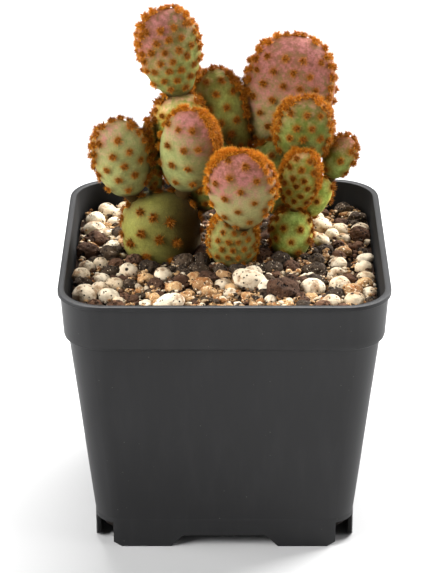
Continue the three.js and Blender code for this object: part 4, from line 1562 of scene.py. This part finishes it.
@dataclass
class PottingMix:
    """The fill of the pot with its fines, grit and stones, in millimetres.

    The share of pumice grows from pale_middle toward the sides by pale_right on the right, in
    front of pale_back, and by pale_elsewhere on the rest, and is full pale_reach from the middle.
    In the middle of the front stones are front_size times as large and front_clay more are clay.
    Around the pads, in an oval that reaches dark_reach sideways, only lava lies.
    """

    plant: Plant
    pot: NurseryPot
    level: float = 69.4
    inset: float = 0.35
    seed: int = 7
    top_stones: int = 150
    low_stones: int = 460
    grit_count: int = 3400
    grit_patch: Tuple[float, float, float, float] = (-2.0, -34.0, 24.0, 11.0)
    dark_centre: float = 10
    dark_depth: float = 0.6
    dark_reach: float = 27
    pale_middle: float = 0.12
    pale_right: float = 0.44
    pale_elsewhere: float = 0.32
    pale_back: float = 8
    pale_reach: float = 35
    front_clay: float = 0.4
    front_size: float = 0.72
    tries: int = 60
    bed_rings: int = 46

    def __post_init__(self) -> None:
        """Starts the random numbers and lays out the stones."""
        self.chance = random.Random(self.seed)
        self.room = self.pot.band_half - 0.7 - self.pot.wall - self.inset
        self.corner = self.pot.rim_corner - self.pot.wall - 1.0
        self.stones: List[Stone] = []

    def inside_wall(self, x: float, y: float, radius: float) -> bool:
        """True where a stone of this radius is clear of the wall."""
        middle = self.room - self.corner
        past = (max(0.0, abs(x) - middle), max(0.0, abs(y) - middle))
        return math.hypot(*past) + radius < self.corner

    def in_grit_patch(self, x: float, y: float) -> bool:
        """True in the patch at the front where only grit and pebbles lie."""
        middle_x, middle_y, half_x, half_y = self.grit_patch
        return math.hypot((x - middle_x) / half_x, (y - middle_y) / half_y) < 1

    @staticmethod
    def at_front(x: float, y: float) -> bool:
        """True in the middle of the front, where the stones are small and mostly clay."""
        return y < FRONT_EDGE and abs(x) < FRONT_HALF

    def pick_kind(self, x: float, y: float, clay: float) -> StoneKind:
        """Draws a kind: pumice toward the sides, clay at the front and dark lava around the pads.

        Args:
            x: The stone's place across.
            y: The stone's place in depth.
            clay: The share of clay among the stones that aren't pumice.

        Returns:
            The kind.
        """
        if math.hypot(x, (y - self.dark_centre) / self.dark_depth) < self.dark_reach:
            return self.chance.choice((StoneKind.RED_LAVA, StoneKind.BLACK_LAVA))
        most_pale = self.pale_right if x > 0 and y < self.pale_back else self.pale_elsewhere
        pale = self.pale_middle + most_pale * min(1.0, abs(x) / self.pale_reach) ** 2
        if self.at_front(x, y):
            clay += self.front_clay
        draw = self.chance.random()
        if draw < pale:
            return StoneKind.PUMICE
        rest = (draw - pale) / (1 - pale)
        if rest < clay:
            return StoneKind.CLAY
        return StoneKind.RED_LAVA if rest < 0.5 + 0.5 * clay else StoneKind.BLACK_LAVA

    def scatter(self, wanted: int, sizes: Tuple[float, float], level: Tuple[float, float],
                overlap: float, clay: float, against: Sequence[Stone]) -> List[Stone]:
        """Throws stones until enough lie clear of each other.

        Args:
            wanted: How many stones to place.
            sizes: The smallest and largest radius.
            level: The lowest and highest centre.
            overlap: How close two may come, as a share of their radii.
            clay: The share of clay among the stones that aren't pumice.
            against: Stones that are already there, which keep these out of the grit patch too.

        Returns:
            The new stones.
        """
        kept: List[Stone] = []
        for _ in range(wanted * self.tries):
            if len(kept) >= wanted:
                break
            x = self.chance.uniform(-self.room, self.room)
            y = self.chance.uniform(-self.room, self.room)
            size = self.chance.uniform(*sizes) * (self.front_size if self.at_front(x, y) else 1.0)
            if not self.inside_wall(x, y, size * 0.95):
                continue
            if self.plant.blocks(x, y, size, self.level + 3):
                continue
            if against and self.in_grit_patch(x, y):
                continue
            if any(math.hypot(x - other.x, y - other.y) < overlap * (size + other.size)
                   for other in (*against, *kept)):
                continue
            radii = (size * self.chance.uniform(0.95, 1.25), size * self.chance.uniform(0.85, 1.05),
                     size * self.chance.uniform(0.7, 0.92))
            kept.append(Stone(x, y, self.chance.uniform(*level), radii,
                              self.pick_kind(x, y, clay)))
        return kept

    def lay_out(self) -> Tuple[List[Stone], List[Stone]]:
        """Lays the big stones, then others between them, then small ones in the gaps.

        Returns:
            The large stones and the small ones.
        """
        level = self.level
        big = [Stone(x, y, level + 0.42 * (a + b) / 2 + 0.6, (a, b, 0.82 * min(a, b)), kind)
               for kind, stones in BIG_STONES.items() for x, y, a, b in stones]
        middle = self.scatter(self.top_stones, sizes=(1.9, 3.1), level=(level + 0.9, level + 2.0),
                              overlap=0.84, clay=0.14, against=big)
        small = self.scatter(self.low_stones, sizes=(0.8, 1.8), level=(level + 0.3, level + 1.5),
                             overlap=0.8, clay=0.45, against=[])
        return big + middle, small

    @staticmethod
    def stone_recipe() -> PointRecipe:
        """The tree that turns points into stones.

        Returns:
            The recipe, with inputs for detail, lumps and pits.
        """
        recipe = PointRecipe("stones", {
            "Detail": ("NodeSocketInt", 4),
            "Lump": ("NodeSocketFloat", 0.2),
            "Lump Scale": ("NodeSocketFloat", 300.0),
            "Pit": ("NodeSocketFloat", 0.05),
            "Pit Scale": ("NodeSocketFloat", 600.0),
            "Material": ("NodeSocketMaterial", None),
        })
        graph = recipe.graph
        ball = graph.pick("Mesh", "GeometryNodeMeshIcoSphere", None,
                          {"Radius": 1.0, "Subdivisions": recipe.input("Detail")})
        turn = graph.pick("Rotation", "FunctionNodeEulerToRotation", None,
                          {"Euler": recipe.stored("turn", "FLOAT_VECTOR")})
        laid = graph.pick("Instances", "GeometryNodeInstanceOnPoints", None, {
            "Points": recipe.input("Points"), "Instance": ball, "Rotation": turn,
            "Scale": recipe.stored("radii", "FLOAT_VECTOR")})
        place = recipe.position()
        outward = graph.pick("Normal", "GeometryNodeInputNormal")
        lumps = graph.node("ShaderNodeTexNoise", {"noise_dimensions": "4D"}, {
            "Vector": place, "W": recipe.stored("tone") * 40.0, "Scale": recipe.input("Lump Scale"),
            "Detail": 2.0})
        cells = graph.pick("Distance", "ShaderNodeTexVoronoi",
                           {"voronoi_dimensions": "3D", "feature": "F1"},
                           {"Vector": place, "Scale": recipe.input("Pit Scale")})
        pit = 1.0 - cells.smooth(0.15, 0.45)
        swell = (Wire(graph, lumps.outputs[0]) - 0.5) * recipe.input("Lump") * 2.0
        lift = (swell - pit * recipe.input("Pit")) * recipe.stored("size")
        shaped = graph.pick("Geometry", "GeometryNodeSetPosition", None,
                            {"Geometry": recipe.realized(laid), "Offset": graph.scaled(outward, lift)})
        # The dimples are marked so that the finish paints shade into them.
        marked = recipe.store(shaped, "pit", pit * (recipe.input("Pit") * 5.0).clamped())
        smooth = graph.pick("Geometry", "GeometryNodeSetShadeSmooth", None, {"Geometry": marked})
        recipe.close(smooth, recipe.input("Material"))
        return recipe

    def attributes(self, stones: Sequence[Stone]) -> Dict[str, np.ndarray]:
        """What each stone's point carries: radii and size in metres, a turn and a tone."""
        return {
            "radii": np.array([stone.radii for stone in stones]) * MM,
            "size": np.array([stone.size for stone in stones]) * MM,
            "turn": np.array([(self.chance.uniform(-0.35, 0.35), self.chance.uniform(-0.35, 0.35),
                               self.chance.uniform(-0.4, 0.4)) for _ in stones]),
            "tone": np.array([self.chance.random() for _ in stones]),
        }

    def make_bed(self) -> bpy.types.Object:
        """Builds the fill as a block with a crumbly top.

        Returns:
            The block.
        """
        pot = self.pot
        wall, gap = pot.wall, self.inset
        levels = [
            Level(pot.floor_bottom + wall + gap, pot.foot_half - wall - 0.4 - gap, pot.foot_corner - wall),
            Level(pot.band_bottom - 1.6, pot.body_half - wall - 0.1 - gap, pot.body_corner - wall),
            Level(pot.band_bottom + 0.4, self.room - 0.1, self.corner),
            Level(self.level, self.room, self.corner),
        ]
        points = [point for level in levels for point in pot.ring(level)]
        rings = self.bed_rings
        for ring in range(1, rings):
            share = 1 - ring / rings
            for x, y, z in pot.ring(Level(self.level, self.room, self.corner)):
                spot = Vector((x * share, y * share, 3.0))
                crumb = noise.noise(spot * 0.5) * 0.7 + noise.noise(spot * 1.4) * 0.45
                points.append((spot.x, spot.y, z + crumb * min(1.0, ring / 3)))
        count = len(pot.ring(levels[0]))
        total = len(levels) + rings - 1
        faces: List[Tuple[int, ...]] = list(ring_faces(total, count))
        last = (total - 1) * count
        faces.append(tuple(reversed(range(count))))
        faces.append(tuple(range(last, last + count)))
        mesh = mesh_from("mix_bed", np.array(points), faces, math.radians(60))
        mesh.materials.append(SoilFinish().make())
        return new_object("mix_bed", mesh)

    def build(self) -> None:
        """Builds the bed, the stones of each kind and the grit."""
        finish_piece(self.make_bed(), "potting_mix", "potting_mix")
        recipe = self.stone_recipe()
        large, small = self.lay_out()
        materials = {kind: finish.make() for kind, finish in STONE_FINISHES.items()}
        for kind in StoneKind:
            shape = STONE_SHAPES[kind]
            for label, stones, detail in (("stones", large, shape.detail),
                                          ("pebbles", small, PEBBLE_DETAIL)):
                chosen = [stone for stone in stones if stone.kind is kind]
                self.grow_heap(recipe, f"{kind.value}_{label}", chosen, shape, detail, materials[kind])
        self.build_grit(recipe, materials)

    def grow_heap(self, recipe: PointRecipe, name: str, stones: Sequence[Stone], shape: Roughness,
                  detail: int, material: bpy.types.Material) -> None:
        """Grows stones of one kind and size class as one piece.

        Args:
            recipe: The stone tree.
            name: The piece's name.
            stones: The stones.
            shape: How rough they are.
            detail: How finely each is divided.
            material: Their material.
        """
        places = np.array([(stone.x, stone.y, stone.z) for stone in stones])
        finish_piece(recipe.grow(name, places, self.attributes(stones), {
            "Detail": detail, "Lump": shape.lump, "Lump Scale": shape.lump_scale,
            "Pit": shape.pit, "Pit Scale": shape.pit_scale, "Material": material}), "potting_mix")

    def build_grit(self, recipe: PointRecipe, materials: Dict[StoneKind, bpy.types.Material]) -> None:
        """Sprinkles small angular grit over the fines.

        Args:
            recipe: The stone tree.
            materials: The stones' materials.
        """
        grains: Dict[StoneKind, List[Stone]] = {kind: [] for kind in StoneKind}
        while sum(len(group) for group in grains.values()) < self.grit_count:
            x = self.chance.uniform(-self.room, self.room)
            y = self.chance.uniform(-self.room, self.room)
            size = self.chance.uniform(0.25, 1.15 if self.in_grit_patch(x, y) else 0.8)
            if not self.inside_wall(x, y, size) or self.plant.blocks(x, y, 0.0, self.level + 2):
                continue
            radii = (size * 1.3, size, size * 0.8)
            z = self.level + self.chance.uniform(0.3, 2.2)
            kind = self.chance.choice((StoneKind.CLAY, StoneKind.CLAY, StoneKind.CLAY,
                                       StoneKind.RED_LAVA, StoneKind.BLACK_LAVA, StoneKind.PUMICE))
            grains[kind].append(Stone(x, y, z, radii, kind))
        for kind, group in grains.items():
            self.grow_heap(recipe, f"{kind.value}_grit", group, GRIT_SHAPE, GRIT_SHAPE.detail,
                           materials[kind])


# The studio


@dataclass
class Studio:
    """The pale floor, the soft lights and the camera, in metres.

    Each softbox has its name, its place, its edge length and its power in watts.
    """

    camera_place: Triple = (0.0, -0.6551, 0.3647)
    camera_down: float = 24.69
    lens: float = 160.1
    sensor: float = 36.0
    shift: float = -0.0183
    floor_size: float = 6.0
    world_strength: float = 0.12
    softboxes: Tuple[Tuple[str, Triple, float, float], ...] = (
        ("left_softbox", (-0.9, -0.1, 0.5), 0.5, 8.0),
        ("front_left_softbox", (-0.8, -0.5, 0.6), 0.5, 13.0),
        ("back_right_softbox", (0.75, 0.5, 0.6), 0.5, 27.0),
        ("right_softbox", (0.9, -0.25, 0.4), 0.5, 4.0),
        ("top_softbox", (0.0, 0.55, 0.95), 0.7, 19.0),
    )

    def build(self) -> None:
        """Builds the camera, the floor, the lights and the surrounding white."""
        self.add_camera()
        self.add_floor()
        for name, place, size, power in self.softboxes:
            self.add_light(name, place, size, power)
        self.add_world()

    def add_camera(self) -> None:
        """Adds the camera at the photograph's height and slant."""
        data = bpy.data.cameras.new("camera")
        data.sensor_fit = "AUTO"
        data.sensor_width = self.sensor
        data.lens = self.lens
        data.shift_x = self.shift
        data.clip_start = 0.01
        camera = bpy.data.objects.new("camera", data)
        camera.location = self.camera_place
        camera.rotation_euler = Euler((math.radians(90 - self.camera_down), 0, 0))
        bpy.context.scene.collection.objects.link(camera)
        bpy.context.scene.camera = camera

    def add_floor(self) -> None:
        """Adds the floor under the pot's feet."""
        half = self.floor_size / 2 / MM
        corners = np.array([(x * half, y * half, 0.0) for x, y in ((-1, -1), (1, -1), (1, 1), (-1, 1))])
        mesh = mesh_from("floor", corners, [(0, 1, 2, 3)])
        mesh.materials.append(SweepFinish().make())
        new_object("floor", mesh)

    @staticmethod
    def add_light(name: str, place: Triple, size: float, power: float) -> None:
        """Adds a soft square light that faces the plant.

        Args:
            name: The light's name.
            place: Where it stands.
            size: Its edge length.
            power: Its power in watts.
        """
        data = bpy.data.lights.new(name, "AREA")
        data.size = size
        data.energy = power
        light = bpy.data.objects.new(name, data)
        light.location = place
        aim = Vector((0.0, 0.0, 0.08)) - Vector(place)
        light.rotation_euler = aim.to_track_quat("-Z", "Y").to_euler()
        bpy.context.scene.collection.objects.link(light)

    def add_world(self) -> None:
        """Surrounds the scene with even white light."""
        world = bpy.data.worlds.new("studio")
        world.use_nodes = True
        background = world.node_tree.nodes["Background"]
        background.inputs["Color"].default_value = (1.0, 1.0, 1.0, 1.0)
        background.inputs["Strength"].default_value = self.world_strength
        bpy.context.scene.world = world
        bpy.context.scene.view_settings.view_transform = "Standard"


def main() -> None:
    """Builds everything in order."""
    logging.basicConfig(level=logging.INFO, format="%(name)s: %(message)s")
    Studio().build()
    plant = Plant()
    pot = NurseryPot()
    pot.build()
    PottingMix(plant, pot).build()
    plant.build()


if __name__ == "__main__":
    main()
